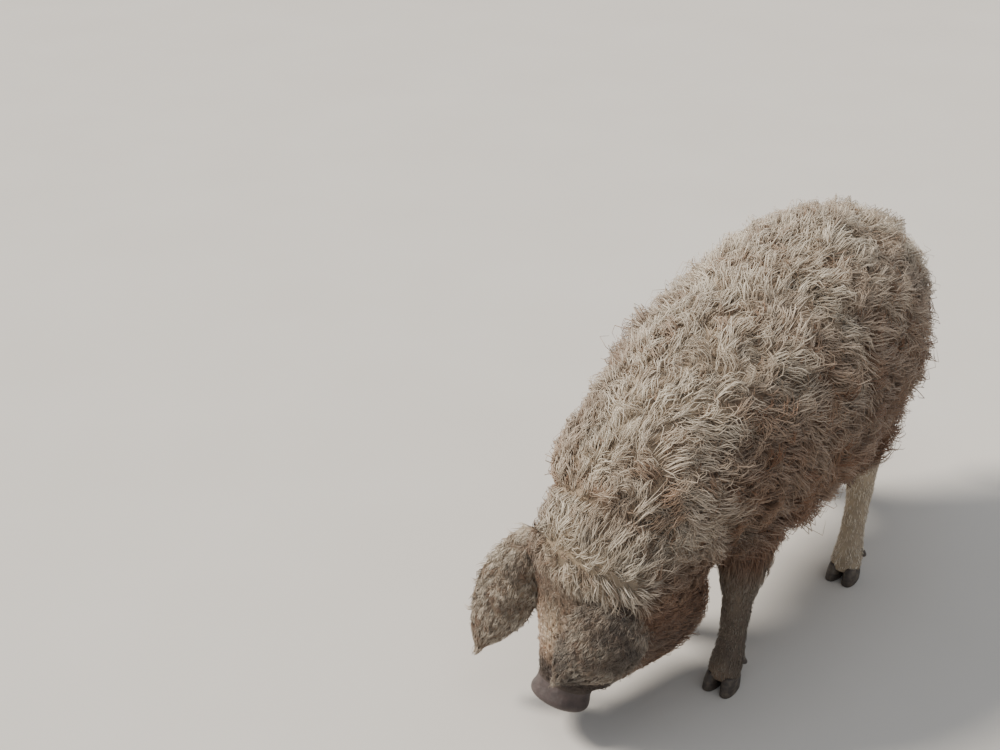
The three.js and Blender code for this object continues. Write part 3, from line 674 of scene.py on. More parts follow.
def eye_place(l, a):
    """Distances from the eye's middle in millimetres: ahead towards the snout, and down the cheek."""
    ahead = l - EYE_T
    down = (np.abs(a) - EYE_ANGLE) / HEAD.per_mm(EYE_T)
    return ahead * 0.96 + down * 0.26, down * 0.96 - ahead * 0.26


MOUTH = [(132, 103), (168, 110), (200, 116), (232, 120), (262, 124)]


def head_relief(l, a):
    """How far the head's skin stands out of its plain outline, in millimetres."""
    ahead, down = eye_place(l, a)
    far = np.hypot(ahead, down)
    almond = np.hypot(ahead / LID_REACH, down / (8.5 + 1.5 * smooth(-10, 10, ahead)))
    # Brow and socket, the lids, the opening between them and the folds under it
    relief = 5.5 * bump(far, 0, 34) - 3.0 * bump(far, 22, 7)
    relief += 3.6 * bump(almond, 1.32, 0.26) + 2.6 * bump(np.hypot(ahead / 24, (down + 17) / 7), 0, 0.9)
    relief -= 10 * smooth(1.08, 0.86, almond)
    for ring, deep in ((1.95, 0.9), (2.5, 0.8), (3.1, 0.6)):
        relief -= deep * bump(almond, ring, 0.12) * smooth(-2, 6, down)
    # Line of the mouth between its lips, and its corner
    mouth = (np.abs(a) - along(MOUTH, l)) / HEAD.per_mm(l)
    lips = -4.5 * bump(mouth, 0, 2.2) + 2.4 * bump(mouth, -6, 5) + 1.6 * bump(mouth, 6, 4.5)
    relief += smooth(130, 150, l) * lips
    relief -= 3 * bump(np.hypot((l - 128) / 7, mouth / 10), 0, 1)
    # Folds across the top of the snout and creases over the bridge of the nose
    top = smooth(-0.35, 0.4, np.cos(np.radians(a)))
    folds = np.sin((l - 190) / 7.2 * math.pi + 0.6 * np.sin(np.radians(a * 3)))
    relief += 1.5 * folds * smooth(176, 196, l) * smooth(238, 226, l) * top
    creased = bump(np.hypot((l - 104) / 26, (np.abs(a) - 38) / 16), 0, 1)
    relief += 1.1 * np.sin(l / 6.5 + np.abs(a) / 9) * creased
    # Cheek, groove along the jaw, and the dish of the face
    relief += 5 * bump(np.hypot((l - 46) / 34, (np.abs(a) - 84) / 24), 0, 1)
    groove = bump((np.abs(a) - 116 - 0.12 * (l - 60)) / 6, 0, 1)
    relief -= 5 * groove * smooth(20, 60, l) * smooth(140, 105, l)
    relief -= 3 * bump(l, 118, 16) * top
    p = HEAD.point(l, a, 0)
    return relief + 0.9 * lumps(p, 34, 21) + 0.5 * lumps(p, 15, 22)


# Rings of the snout: place along it from its tip, share of its radii, and how far it sits up
SNOUT_RIM = [(-24, 0.97, 1), (-20, 0.95, 2), (-14, 0.945, 2.5), (-9, 0.96, 3), (-5, 0.985, 3), (-1, 1.01, 4),
             (3, 1.02, 4), (6, 1.01, 4), (8.5, 0.98, 4), (10.5, 0.94, 4), (11.6, 0.89, 4)]
SNOUT_DISC = [(12.1 - 2.4 * (1 - s) ** 2, s, 4) for s in np.linspace(0.84, 0.04, 17)]


def snout_ring(angle, d, share, up):
    """One ring of the snout, sunk where the nostrils are."""
    x = SNOUT_RADII[0] * share * np.sin(angle)
    y = SNOUT_RADII[1] * share * np.cos(angle) * (1 - 0.06 * np.cos(angle))
    nostril = np.hypot((np.abs(x) - NOSTRIL_APART) / NOSTRIL_RADII[0], (y - 1) / NOSTRIL_RADII[1])
    inward = (NOSTRIL_DEPTH * smooth(1.12, 0.66, nostril) - 1.3 * bump(nostril, 1.35, 0.22)) * (d > 9)
    upper = 2.4 * bump(share, 1, 0.12) * smooth(0.2, 0.9, np.cos(angle))
    return (SKULL + SNOUT_TIP * HEAD_RUN + (d - inward)[:, None] * HEAD_RUN + x[:, None] * HEAD_LEFT
            + (y + up + upper)[:, None] * HEAD_BACK)


def fine_head():
    """The head's shaped skin, from the nape to the disc of the snout."""
    # Angles and lengths lie closer together at the eyes and the mouth
    grid_a = np.linspace(-180, 180, 2001)
    dense = 1 + 2.4 * bump(np.abs(grid_a), EYE_ANGLE, 14) + 0.9 * bump(np.abs(grid_a), 112, 16)
    share = np.concatenate([[0], np.cumsum((dense[1:] + dense[:-1]) / 2)])
    around = np.interp(np.linspace(0, share[-1], 201)[:-1], share, grid_a)
    lengths = np.concatenate([np.linspace(HEAD_ENDS[0], 40, 24), np.linspace(43, 112, 47)[1:],
                              np.linspace(114, 228, 58)])
    l, a = np.meshgrid(lengths, around, indexing="ij")
    plain = HEAD.point(l, a, head_coat(l))
    out = unit(plain - SKULL - l[..., None] * HEAD_RUN)
    rings = [plain + out * head_relief(l, a)[..., None]]
    rings += [snout_ring(np.radians(around), *row)[None] for row in SNOUT_RIM + SNOUT_DISC]
    points, faces = closed_tube(np.concatenate(rings))
    obj = add_mesh("head_skin", points, faces, [HIDE, SNOUT])
    ahead = (points_of(obj) - SKULL) @ HEAD_RUN
    bare = (ahead[faces].mean(1) > SNOUT_FROM).astype(np.int32)
    obj.data.polygons.foreach_set("material_index", bare)
    return obj


def skin():
    """One skin of both, with the markings of the breed and painted shade."""
    whole = blunt_union()
    head = fine_head()
    for part in (whole, head):
        dark, rust = markings(points_of(part))
        set_marks(part, dark, rust, 0.5, 0.5)
    bpy.ops.object.select_all(action="DESELECT")
    head.select_set(True)
    whole.select_set(True)
    bpy.context.view_layer.objects.active = whole
    bpy.ops.object.join()
    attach(whole, "root")
    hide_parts("torso", "neck", "head", "snout", *[f"leg_{place}" for place in LEGS])
    return whole


def ear(name, surface):
    """Ear blade: thickest at its root, with a cupped inner face and thin edges."""
    across = np.linspace(-1, 1, 23)
    lengths = np.concatenate([[-26, -14], np.linspace(-4, surface.length, 40)])
    l, a = np.meshgrid(lengths, across, indexing="ij")
    thick = 3.4 * (1 - 0.6 * np.abs(a) ** 3) * (1 - 0.4 * np.clip(l / surface.length, 0, 1))
    outer = surface.point(l, a, -thick)
    inner = surface.point(l, a[:, ::-1], thick[:, ::-1] * 0.9)
    points, faces = closed_tube(np.concatenate([outer, inner], 1))
    obj = add_mesh(f"ear_{name}_blade", points, faces, [HIDE])
    dark, rust = markings(points_of(obj), on_ear=True)
    set_marks(obj, dark, rust, 0.6, 0.5)
    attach(obj, "root")
    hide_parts(f"ear_{name}")


def eyeball(name, side):
    """Eyeball with a slightly bulging cornea; its marks run from the pupil outwards."""
    centre, out = eye_centre(side)
    centre = centre - out * EYE_SUNK
    ahead = unit(np.cross(out, HEAD_RUN))
    aside = np.cross(ahead, out)
    r, k = np.meshgrid(np.linspace(0, math.pi, 26)[1:-1], np.linspace(0, 2 * math.pi, 40, endpoint=False),
                       indexing="ij")
    bulge = EYE_RADIUS * (1 + 0.05 * bump(r, 0, 0.5))
    ball = centre + (bulge * np.cos(r))[..., None] * out + (bulge * np.sin(r))[..., None] * (
        np.cos(k)[..., None] * ahead + np.sin(k)[..., None] * aside)
    obj = add_mesh(f"eye_{name}_ball", *closed_tube(ball), [EYE])
    away = np.arccos(np.clip(unit(points_of(obj) - centre) @ out, -1, 1))
    set_marks(obj, 0, 0, 0, np.clip(away, 0, 1))
    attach(obj, "root")
    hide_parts(f"eye_{name}")


TOE_LENGTH = 50
TOE_WIDTH = 25
TOE_HEIGHT = 25
TOE_APART = 1.5  # half the cleft between the claws
TOE_TURN = 4  # degrees that a claw's toe turns outwards
HOOF_SLOPE = 0.35
SPUR_BACK = 14
SPUR_ASIDE = 15
SPUR_UP = 56


def claw(name, middle, inner):
    """One claw of the hoof: flat sole, rounded toe, ringed wall that slopes back to the coronet."""
    around = np.linspace(0, 2 * math.pi, 44, endpoint=False)
    stations = [(0, 0.9, 0), (0, 0.965, 0), (1.2, 1.0, 0.2), (5, 1.0, 0.9), (9, 0.99, 1.9), (13, 0.965, 3),
                (17, 0.94, 4.4), (21, 0.9, 6), (24, 0.87, 7.4), (TOE_HEIGHT, 0.82, 8)]
    rings = []
    for h, share, back in stations:
        c, s = np.cos(around), np.sin(around)
        reach = np.where(c > 0, TOE_LENGTH * 0.6, TOE_LENGTH * 0.4) * share
        x = reach * np.sign(c) * np.abs(c) ** 0.86 - back
        y = TOE_WIDTH / 2 * share * np.sign(s) * np.abs(s) ** 0.82
        wear = 0.35 * np.sin(h * 2.1) * (h > 2)
        slope = HOOF_SLOPE * h / TOE_HEIGHT
        rings.append(np.stack([x * (1 + wear / 60), y * (1 + wear / 30), h + slope * x], -1))
    aside = middle[1] + inner * (TOE_WIDTH / 2 + TOE_APART)
    grid = turn_z(np.array(rings), inner * TOE_TURN) + np.array([middle[0], aside, 0])
    obj = add_mesh(name + "_horn", *closed_tube(grid), [HORN])
    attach(obj, "root")
    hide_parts(name)


def spur(name, middle, inner):
    """A dewclaw: a blunt, slightly bent cone of horn behind the pastern."""
    around = np.linspace(0, 2 * math.pi, 24, endpoint=False)
    root = np.array([middle[0] - SPUR_BACK, middle[1] + inner * SPUR_ASIDE, SPUR_UP])
    down = np.array([-0.62, 0.16 * inner, -0.72])
    rings = []
    for reach, radius in ((-6, 9), (4, 9.3), (12, 9), (19, 8), (25, 6.6), (29, 5), (31.5, 3)):
        centre = root + down * reach
        rings.append(centre + radius * (np.sin(around)[:, None] * np.array([0, 1, 0])
                                        + np.cos(around)[:, None] * np.array([-0.72, 0, 0.62]) * 0.85))
    obj = add_mesh(name + "_horn", *closed_tube(np.array(rings)), [HORN])
    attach(obj, "root")
    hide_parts(name)


class Tail(Surface):
    """The tail: l is the distance from its root, a the angle round it."""

    ends = (0, TAIL_LENGTH)
    buried = None

    def middle(self, l):
        t = np.clip(np.asarray(l, float) / TAIL_LENGTH, 0, 1)
        return np.stack([-455 - 34 * np.sin(np.pi * 0.75 * t), 26 * np.sin(2 * np.pi * t * 0.9) * t,
                         470 + 14 * np.sin(t * 3) - 190 * t**1.3], -1)

    def point(self, l, a, depth):
        l, a, depth = np.broadcast_arrays(np.asarray(l, float), a, depth)
        near, far = np.clip(l - 4, 0, TAIL_LENGTH - 4), np.clip(l + 4, 4, TAIL_LENGTH)
        run = unit(self.middle(far) - self.middle(near))
        side = unit(np.cross(np.array([0.02, 1.0, 0.0]), run))
        up = np.cross(run, side)
        radius = 10 - 6.5 * np.clip(l / TAIL_LENGTH, 0, 1) - depth
        angle = np.radians(a)
        round_it = np.cos(angle)[..., None] * side + np.sin(angle)[..., None] * up
        past = np.maximum(0, l - TAIL_LENGTH)
        return self.middle(l) + run * past[..., None] + radius[..., None] * round_it

    def per_mm(self, l):
        return per_mm_round(8, 8) + 0 * np.asarray(l, float)


TAIL = Tail()


def tail():
    around = np.linspace(-180, 180, 20, endpoint=False)
    grid = surface_grid(TAIL, np.linspace(0, TAIL_LENGTH, 44), around, 0)
    obj = add_mesh("tail_skin", *closed_tube(grid), [HIDE])
    dark, rust = markings(points_of(obj))
    set_marks(obj, dark, rust, 0.5, 0.5)
    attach(obj, "root")
    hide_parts("tail")


EAR_SURFACES = {name: Ear(name) for name in EARS}
SKIN = skin()
for name, surface in EAR_SURFACES.items():
    ear(name, surface)
for name, side in (("left", 1), ("right", -1)):
    eyeball(name, side)
for place, foot in FEET.items():
    for letter, inner in (("a", 1), ("b", -1)):
        claw(f"claw_{place}_{letter}", foot, inner)
        spur(f"spur_{place}_{letter}", foot, inner)
tail()


# Coat: tapered three-sided locks that follow the lie and gather in clumps
class SkinFinder:
    """Finds the nearest place on the skin and the way out of it there."""

    def __init__(self, obj):
        mesh = obj.data
        co = np.empty(len(mesh.vertices) * 3, dtype=np.float32)
        mesh.vertices.foreach_get("co", co)
        self.co = co.reshape(-1, 3)
        mesh.calc_loop_triangles()
        tris = np.empty(len(mesh.loop_triangles) * 3, dtype=np.int32)
        mesh.loop_triangles.foreach_get("vertices", tris)
        tris = tris.reshape(-1, 3)
        a, b, c = (self.co[tris[:, i]] for i in range(3))
        flat = np.cross(b - a, c - a)
        out = np.zeros_like(self.co)
        for i in range(3):
            np.add.at(out, tris[:, i], flat)
        out = unit(out)
        self.out = unit(out[tris].sum(1))
        self.tree = BVHTree.FromPolygons([Vector(v) for v in self.co.tolist()], tris.tolist())

    def nearest(self, points):
        """Skin points and outward directions for points in construction millimetres."""
        flat = (points.reshape(-1, 3) * MM + SHIFT).tolist()
        find = self.tree.find_nearest
        hits = [find(p) for p in flat]
        places = np.array([hit[0][:] for hit in hits])
        out = self.out[[hit[2] for hit in hits]]
        return ((places - SHIFT) / MM).reshape(points.shape), out.reshape(points.shape)


FINDER = SkinFinder(SKIN)
CLEAR = 10  # the skin is looked for from this far outside the surface


def hashed(i, j, salt):
    v = np.sin(i * 127.1 + j * 311.7 + salt * 74.7) * 43758.5453
    return v - np.floor(v)


def clump_of(l, w, size):
    """The nearest clump middle of a jittered grid, and its two numbers."""
    ci, cj = np.floor(l / size), np.floor(w / size)
    best = np.full(l.shape, 1e9)
    out = np.zeros((4,) + l.shape)
    for di in (-1, 0, 1):
        for dj in (-1, 0, 1):
            i, j = ci + di, cj + dj
            x = (i + 0.15 + 0.7 * hashed(i, j, 1)) * size
            y = (j + 0.15 + 0.7 * hashed(i, j, 2)) * size
            d = (x - l) ** 2 + (y - w) ** 2
            near = d < best
            best = np.where(near, d, best)
            for k, value in enumerate((x, y, hashed(i, j, 3), hashed(i, j, 4))):
                out[k] = np.where(near, value, out[k])
    return out


def sample_roots(surface, count, ends=None, density=None):
    """Places on a surface, spread evenly by area and thinned by a density."""
    low, high = ends or surface.ends
    l = rng.uniform(low, high, count * 5)
    a = rng.uniform(-surface.wide, surface.wide, count * 5)
    here = surface.point(l, a, 0)
    beside = surface.point(l, a + 0.01 * surface.wide, 0)
    area = np.linalg.norm(np.cross(surface.point(l + 1, a, 0) - here, beside - here), axis=-1)
    weight = area * (density(l, a) if density else 1)
    chosen = rng.choice(len(l), count, replace=False, p=weight / weight.sum())
    return l[chosen], a[chosen]


# Locks: places along one from root to tip, and its width there
LONG = (np.array([0, 0.22, 0.48, 0.75, 1.0]), np.array([0.7, 1.0, 0.85, 0.55, 0.0]))
SHORT = (np.array([0, 0.35, 0.7, 1.0]), np.array([0.8, 1.0, 0.65, 0.0]))
STUB = (np.array([0, 0.5, 1.0]), np.array([0.8, 0.9, 0.0]))

TURNS = 0.7  # waves along a lock
RIPPLE = 0.28  # share of its lift by which a lock waves up and down
GATHER = 0.6  # share of the way to the clump's middle that a tip goes
STRAY = 0.05  # share of locks that stand out of their clump
ROOT_DEPTH = 1.5


def grow(surface, roots, heading, length, root, lift, width, clump, lock=LONG, wave=40, hook=50,
         out=1, toned=0.0):
    """Grows locks from roots on a surface and returns their points with marks and places.

    Heading, length and lift give their values at a place, and root gives the depth of the roots.
    Width is a lock's thickness, clump the spacing of clumps, wave and hook are bends in degrees.
    """
    steps, shape = lock
    l, a = roots
    if surface.buried:
        aim = surface.point(l, a, root(l) - CLEAR)
        place, normal = FINDER.nearest(aim)
        keep = np.einsum("ij,ij->i", aim - place, normal) > CLEAR - surface.buried
        l, a = l[keep], a[keep]
    n = len(l)
    per_mm = surface.per_mm(l)
    w = a / per_mm
    lc, wc, h1, h2 = clump_of(l, w, clump)
    ac = wc * surface.per_mm(lc)
    length = length(l, a) * rng.uniform(0.65, 1.2, n)
    lift = lift(l, a) * (0.5 + 0.7 * h1) * rng.uniform(0.7, 1.2, n)
    strays = rng.uniform(size=n) < STRAY
    lift = np.where(strays, lift * 1.5, lift)
    theta = np.radians(heading(lc, ac)) + np.radians(rng.normal(0, 10, n)) * (1 + 2 * strays)
    # The lie turns along each lock; places on the surface are added up in fine steps
    sense = np.where(h1 > 0.5, 1, -1)
    swing = np.radians(wave) * (0.55 + 0.7 * h2) * sense
    stretch = np.linalg.norm(surface.point(l + 2, a, 0) - surface.point(l - 2, a, 0), axis=-1) / 4
    stretch = np.clip(stretch, 0.6, 6)
    fine = 12
    u = (np.arange(fine) + 0.5) / fine
    turn = theta[:, None] + swing[:, None] * np.sin(2 * np.pi * (TURNS * u[None] + h2[:, None]))
    turn = turn + np.radians(hook) * (sense * (0.3 + h2))[:, None] * u[None] ** 2
    step = length[:, None] / fine
    ahead = np.concatenate([np.zeros((n, 1)), np.cumsum(np.cos(turn) * step / stretch[:, None], 1)], 1)
    aside = np.concatenate([np.zeros((n, 1)), np.cumsum(np.sin(turn) * step, 1)], 1)
    at = np.rint(steps * fine).astype(int)
    ahead, aside = ahead[:, at], aside[:, at]
    gather = GATHER * steps[None] ** 1.3 * np.where(strays, 0.2, 1)[:, None]
    lj = l[:, None] + ahead - (l - lc)[:, None] * gather
    wj = w[:, None] + aside - (w - wc)[:, None] * gather
    aj = wj * per_mm[:, None]
    rise = np.sin(np.minimum(steps * 1.25, 1) * np.pi / 2)[None] * lift[:, None]
    rise = rise + RIPPLE * lift[:, None] * np.sin(2 * np.pi * (TURNS * 1.3 * steps[None] + h1[:, None]))
    rise[:, 0] = -ROOT_DEPTH
    if surface.buried:
        place, outward = FINDER.nearest(surface.point(lj, aj, root(l)[:, None] - CLEAR))
        path = place + outward * rise[..., None]
    else:
        path = surface.point(lj, aj, root(l)[:, None] - out * rise)
        outward = unit(surface.point(lj, aj, root(l)[:, None] - out * (rise + 2)) - path)
    radius = (width * rng.uniform(0.7, 1.25, n) / 2)[:, None] * shape[None]
    low, high = surface.ends
    place = np.stack([(l - low) / (high - low), (a + surface.wide) / (2 * surface.wide)], -1)
    dark, rust = markings(path[:, 1], on_ear=isinstance(surface, Ear))
    rust = rust + 0.35 * smooth(0.82, 0.95, h2)
    tone = np.clip(0.42 + 0.7 * (h2 - 0.5) + rng.normal(0, 0.25, n) + toned, 0, 1)
    return dict(points=lock_points(path, outward, radius), place=np.clip(place, 0, 1), dark=dark, rust=rust,
                tone=tone, steps=steps)


def lock_points(path, outward, radius):
    """Three points round each place of each path, somewhat flat to the skin, and one at its tip."""
    run = np.empty_like(path)
    run[:, 1:-1] = path[:, 2:] - path[:, :-2]
    run[:, 0] = path[:, 1] - path[:, 0]
    run[:, -1] = path[:, -1] - path[:, -2]
    run = unit(run)
    side = unit(np.cross(run, outward))
    up = np.cross(side, run)
    corners = []
    for k in range(3):
        angle = math.pi / 2 + 2 * math.pi * k / 3
        corners.append(path + radius[..., None] * (math.cos(angle) * side + 0.6 * math.sin(angle) * up))
    rings = np.stack(corners, 2)[:, :-1].reshape(len(path), -1, 3)
    return np.concatenate([rings, path[:, -1:]], 1)


def lock_pattern(count):
    """Triangles of one lock with this many steps, root and tip counted."""
    steps = count - 1
    faces, tip = [], steps * 3
    for j in range(steps - 1):
        for k in range(3):
            k2 = (k + 1) % 3
            faces += [(j * 3 + k, j * 3 + k2, j * 3 + 3 + k2), (j * 3 + k, j * 3 + 3 + k2, j * 3 + 3 + k)]
    last = (steps - 1) * 3
    faces += [(last + k, last + (k + 1) % 3, tip) for k in range(3)]
    faces.append((0, 2, 1))
    return np.array(faces)


PIECE_FACES = 190000  # keeps each coat piece under its limit
PATCH = 0.003  # size of a lock's patch on the bake map


def coat_pieces(name, grown):
    """Makes the locks into mesh pieces with their marks and bake places."""
    steps = grown["steps"]
    pattern = lock_pattern(len(steps))
    total = len(grown["points"])
    pieces = max(1, math.ceil(total * len(pattern) / PIECE_FACES))
    for k in range(pieces):
        pick = slice(k, None, pieces)
        points = grown["points"][pick]
        n, per = points.shape[:2]
        faces = (pattern[None] + (np.arange(n) * per)[:, None, None]).reshape(-1, 3)
        obj = add_mesh(f"{name}_{k + 1}", points.reshape(-1, 3), faces, [COAT])
        ring = np.minimum(np.arange(per) // 3, len(steps) - 1)
        marks = [np.repeat(grown[key][pick], per) for key in ("dark", "rust", "tone")]
        set_marks(obj, *marks, np.tile(steps[ring], n))
        patch = np.stack([steps[ring], (np.arange(per) % 3) / 2], -1) * PATCH
        uv = (0.002 + 0.993 * grown["place"][pick])[:, None] + patch[None]
        layer = obj.data.uv_layers.new(name="OFBake")
        loops = np.empty(len(obj.data.loops), dtype=np.int32)
        obj.data.loops.foreach_get("vertex_index", loops)
        layer.data.foreach_set("uv", uv.reshape(-1, 2)[loops].astype(np.float32).ravel())
        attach(obj, "root")


# Whorls of the coat: place along the body, angle, reach and sense
WHORLS = [(250, 38, 85, 1), (560, 44, 95, -1), (640, -24, 90, 1), (815, 30, 75, -1), (420, -60, 90, -1)]


def sheet(l, a, mm_per_degree):
    """Places on a surface as points on a flat sheet."""
    return np.stack([l, a * mm_per_degree, 0 * l], -1)


def body_heading(l, a):
    """The lie of the coat: back and down, with waves and a few whorls."""
    side = np.where(a < 0, -1, 1)
    rump = 1 - smooth(30, 190, l)
    heading = side * (180 - (30 + 52 * rump) * np.sin(np.radians(np.abs(a))))
    p = sheet(l, a, 3.6)
    heading = heading + 38 * lumps(p, 190, 31) + 20 * lumps(p, 80, 32)
    x, y = np.cos(np.radians(heading)), np.sin(np.radians(heading))
    for at, angle, reach, sense in WHORLS:
        dx, dy = l - at, (a - angle) * 3.5
        far = np.hypot(dx, dy) + 14
        pull = 1.3 * np.exp(-((far / reach) ** 2)) * (1 - bump(far, 14, 16))
        x = x + pull * (dx * 0.35 - sense * dy * 0.9) / far
        y = y + pull * (dy * 0.35 + sense * dx * 0.9) / far
    return np.degrees(np.arctan2(y, x))


def body_length(l, a):
    return 50 - 10 * smooth(700, 860, l) + 6 * np.sin(np.radians(np.abs(a)))


def head_heading(l, a):
    """Back over the crown and the cheeks, forwards over the forehead, with one whorl between."""
    front = smooth(8, 44, l) * smooth(150, 110, l) * smooth(82, 50, np.abs(a))
    back = 180 - 40 * np.sin(np.radians(a))
    ahead = 14 * np.clip(a / 20, -1, 1)
    return back + (ahead - back) * front + 24 * lumps(sheet(l, a, 2.0), 90, 41)


def head_length(l, a):
    top = smooth(-0.4, 0.3, np.cos(np.radians(a)))
    crown = smooth(95, 40, l)
    jowl = smooth(90, 120, np.abs(a)) * smooth(180, 120, l)
    return 9 + 25 * crown * top + 15 * jowl + 8 * smooth(60, 0, l)


def bare_places(l, a):
    """Density of the head's hair: none on eyes, mouth and bare snout, more on crown and nape."""
    ahead, down = eye_place(l, a)
    mouth = (np.abs(a) - along(MOUTH, l)) / HEAD.per_mm(l)
    eye = smooth(1.5, 1.9, np.hypot(ahead / LID_REACH, down / 9))
    lips = 1 - bump(mouth, 0, 4) * smooth(130, 150, l)
    crowded = 1 + 0.6 * smooth(90, 20, l) + 0.9 * smooth(20, -30, l) + 1.2 * bump(l, 26, 18)
    return eye * lips * crowded * smooth(246, 226, l)


def cover_body():
    """The long curled coat of torso and neck, which lies in rolls, and the short one under it."""
    nape = lambda l, a: 1 + 0.9 * smooth(800, 870, l)
    rolls = lambda l, a: 1 + 0.4 * lumps(sheet(l, a, 3.6), 85, 61)
    guard = sample_roots(BODY, 31500, density=nape)
    coat_pieces("coat_guard", grow(
        BODY, guard, body_heading, body_length, body_coat, lambda l, a: body_coat(l) * 0.72 * rolls(l, a),
        width=1.8, clump=21, wave=52, hook=70, toned=-0.1))
    under = sample_roots(BODY, 17500, density=nape)
    coat_pieces("coat_under", grow(
        BODY, under, body_heading, lambda l, a: 0.62 * body_length(l, a), body_coat,
        lambda l, a: body_coat(l) * 0.48 * rolls(l, a),
        width=2.3, clump=12, wave=55, hook=90, toned=0.3, lock=SHORT))


def cover_head():
    """Long hair on crown and nape, short fine hair on the face."""
    long_share = lambda l, a: smooth(11, 17, head_length(l, a))
    crown = sample_roots(HEAD, 8500, (-60, 200), lambda l, a: bare_places(l, a) * long_share(l, a))
    coat_pieces("coat_crown", grow(
        HEAD, crown, head_heading, head_length, head_coat, lambda l, a: 1.2 + 0.3 * head_length(l, a),
        width=1.5, clump=12, wave=34, lock=SHORT))
    face = sample_roots(HEAD, 14500, (-30, 238), lambda l, a: bare_places(l, a) * (1.05 - long_share(l, a)))
    coat_pieces("coat_face", grow(
        HEAD, face, head_heading, lambda l, a: np.minimum(head_length(l, a), 14), head_coat,
        lambda l, a: 2.6 + 0 * l, width=1.0, clump=8, wave=24, hook=20, lock=STUB))


def cover_ear(name, surface):
    """Hair on both faces of an ear, fanned out towards its edges and sparser inside."""
    fan = lambda l, a: a * 22
    outer = grow(surface, sample_roots(surface, 4300, (-6, surface.length)), fan,
                 lambda l, a: 14 + 4 * np.abs(a), lambda l: -2.2 + 0 * l, lambda l, a: 4.2 + 0 * l,
                 width=1.3, clump=9, wave=30, lock=STUB)
    inner = grow(surface, sample_roots(surface, 1000, (6, surface.length * 0.98)), fan,
                 lambda l, a: 9 + 8 * np.abs(a) ** 2, lambda l: 2.0 + 0 * l, lambda l, a: 3 + 0 * l,
                 width=1.2, clump=9, wave=18, out=-1, lock=STUB)
    both = {key: np.concatenate([outer[key], inner[key]]) for key in outer if key != "steps"}
    coat_pieces(f"coat_ear_{name}", dict(both, steps=outer["steps"]))


def cover_leg(place, leg):
    """Short hair that lies down the leg, longer at its top; the forelegs are darker, partly with painted
    shade.
    """
    down = lambda l, a: 12 * lumps(sheet(l, a, 0.5), 60, 51)
    upper = lambda l: smooth(160, 70, l)
    hind = place.startswith("hind")
    grown = grow(leg, sample_roots(leg, 4300, (0, leg.ends[1] - 12)), down,
                 lambda l, a: 10 + 18 * upper(l), leg_coat, lambda l, a: 1.5 + 4 * upper(l),
                 width=1.4, clump=8, wave=16, hook=15, toned=-0.25 if hind else 0.1, lock=STUB)
    coat_pieces(f"coat_leg_{place}", grown)


def cover_tail():
    """Hair along the tail that ends in a brush."""
    brush = lambda l, a: 1 + 2.2 * smooth(150, 205, l)
    coat_pieces("coat_tail", grow(
        TAIL, sample_roots(TAIL, 1500, (4, TAIL_LENGTH), brush), lambda l, a: 0 * l,
        lambda l, a: 24 + 26 * smooth(110, 190, l), lambda l: 0.3 + 0 * l,
        lambda l, a: 5.5 + 4 * smooth(120, 190, l), width=1.7, clump=11, wave=34, lock=SHORT))


cover_body()
cover_head()
for name, surface in EAR_SURFACES.items():
    cover_ear(name, surface)
for place, leg in LEGS.items():
    cover_leg(place, leg)
cover_tail()


# Floor, light and camera
FLOOR_HALF = 12000
FLOOR_GAP = 0.0004  # metres under the soles, so that they don't lie in the floor's plane


def floor():
    corners = np.array([[-1, -1, 0], [1, -1, 0], [1, 1, 0], [-1, 1, 0]], float) * FLOOR_HALF
    corners[:, 2] = -SHIFT[2] / MM
    obj = add_mesh("studio_floor", corners, np.array([[0, 1, 2, 3]]), [FLOOR])
    obj.location.z = -FLOOR_GAP


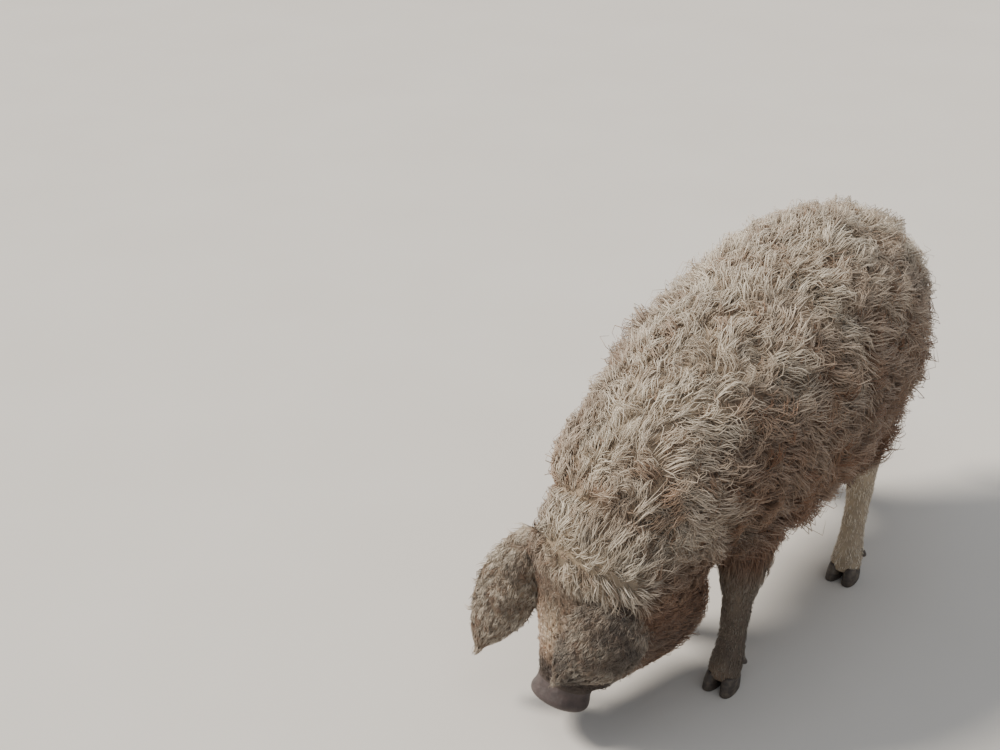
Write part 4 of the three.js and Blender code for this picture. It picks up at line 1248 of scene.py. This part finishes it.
# The camera of the photograph: height, tilt, roll and distances on the floor, found from the outline
CAMERA_HEIGHT = 1.607
CAMERA_TILT = 28.3
CAMERA_ROLL = -0.6
PIG_AHEAD = 2.234  # from the point under the camera, straight ahead
PIG_RIGHT = 0.434
PIG_YAW = 233.85
PICTURE_WIDTH = 1000
FOCAL_PIXELS = 1537.7
SENSOR = 36


def camera():
    """Puts up the camera and returns the directions to its right and behind it."""
    tilt, roll = math.radians(CAMERA_TILT), math.radians(CAMERA_ROLL)
    ahead = np.array([0, math.cos(tilt), -math.sin(tilt)])
    level = np.array([1.0, 0, 0])
    sunk = np.cross(ahead, level)
    right = math.cos(roll) * level - math.sin(roll) * sunk
    down = math.sin(roll) * level + math.cos(roll) * sunk
    place = np.array([-PIG_RIGHT, -PIG_AHEAD, CAMERA_HEIGHT])
    place, *axes = turn_z(np.array([place, right, -down, -ahead]), -PIG_YAW)
    data = bpy.data.cameras.new("photo_view")
    data.sensor_width = SENSOR
    data.lens = FOCAL_PIXELS * SENSOR / PICTURE_WIDTH
    data.clip_end = 60
    matrix = np.identity(4)
    matrix[:3, :3] = np.stack(axes, 1)
    matrix[:3, 3] = place + SHIFT
    obj = put("photo_view", data)
    obj.matrix_world = Matrix(matrix.tolist())
    bpy.context.scene.camera = obj
    return Vector(axes[0]), Vector(axes[2])


MIDDLE = Vector((0, 0, 0.33))


def lights(right, back):
    """A low soft sun from the camera's left, a wide light above and a pale room."""
    key = bpy.data.lights.new("key_window", "SUN")
    key.energy = 5.4
    key.angle = math.radians(17)
    key.color = linear("#fff6ea")[:3]
    way = right * 2.1 - Vector((0, 0, 2.6)) + back * 0.7
    put("key_window", key).rotation_euler = way.to_track_quat("-Z", "Y").to_euler()
    soft = bpy.data.lights.new("top_soft", "AREA")
    soft.shape = "DISK"
    soft.size = 3.0
    soft.energy = 24
    above = put("top_soft", soft)
    above.location = MIDDLE + Vector((0, 0, 3.6)) + back * 0.6
    above.rotation_euler = (MIDDLE - above.location).to_track_quat("-Z", "Y").to_euler()
    world = bpy.data.worlds.new("studio")
    world.use_nodes = True
    feed(world.node_tree, world.node_tree.nodes["Background"], {"Color": linear("#e6e9ee"), "Strength": 0.62})
    bpy.context.scene.world = world


floor()
lights(*camera())
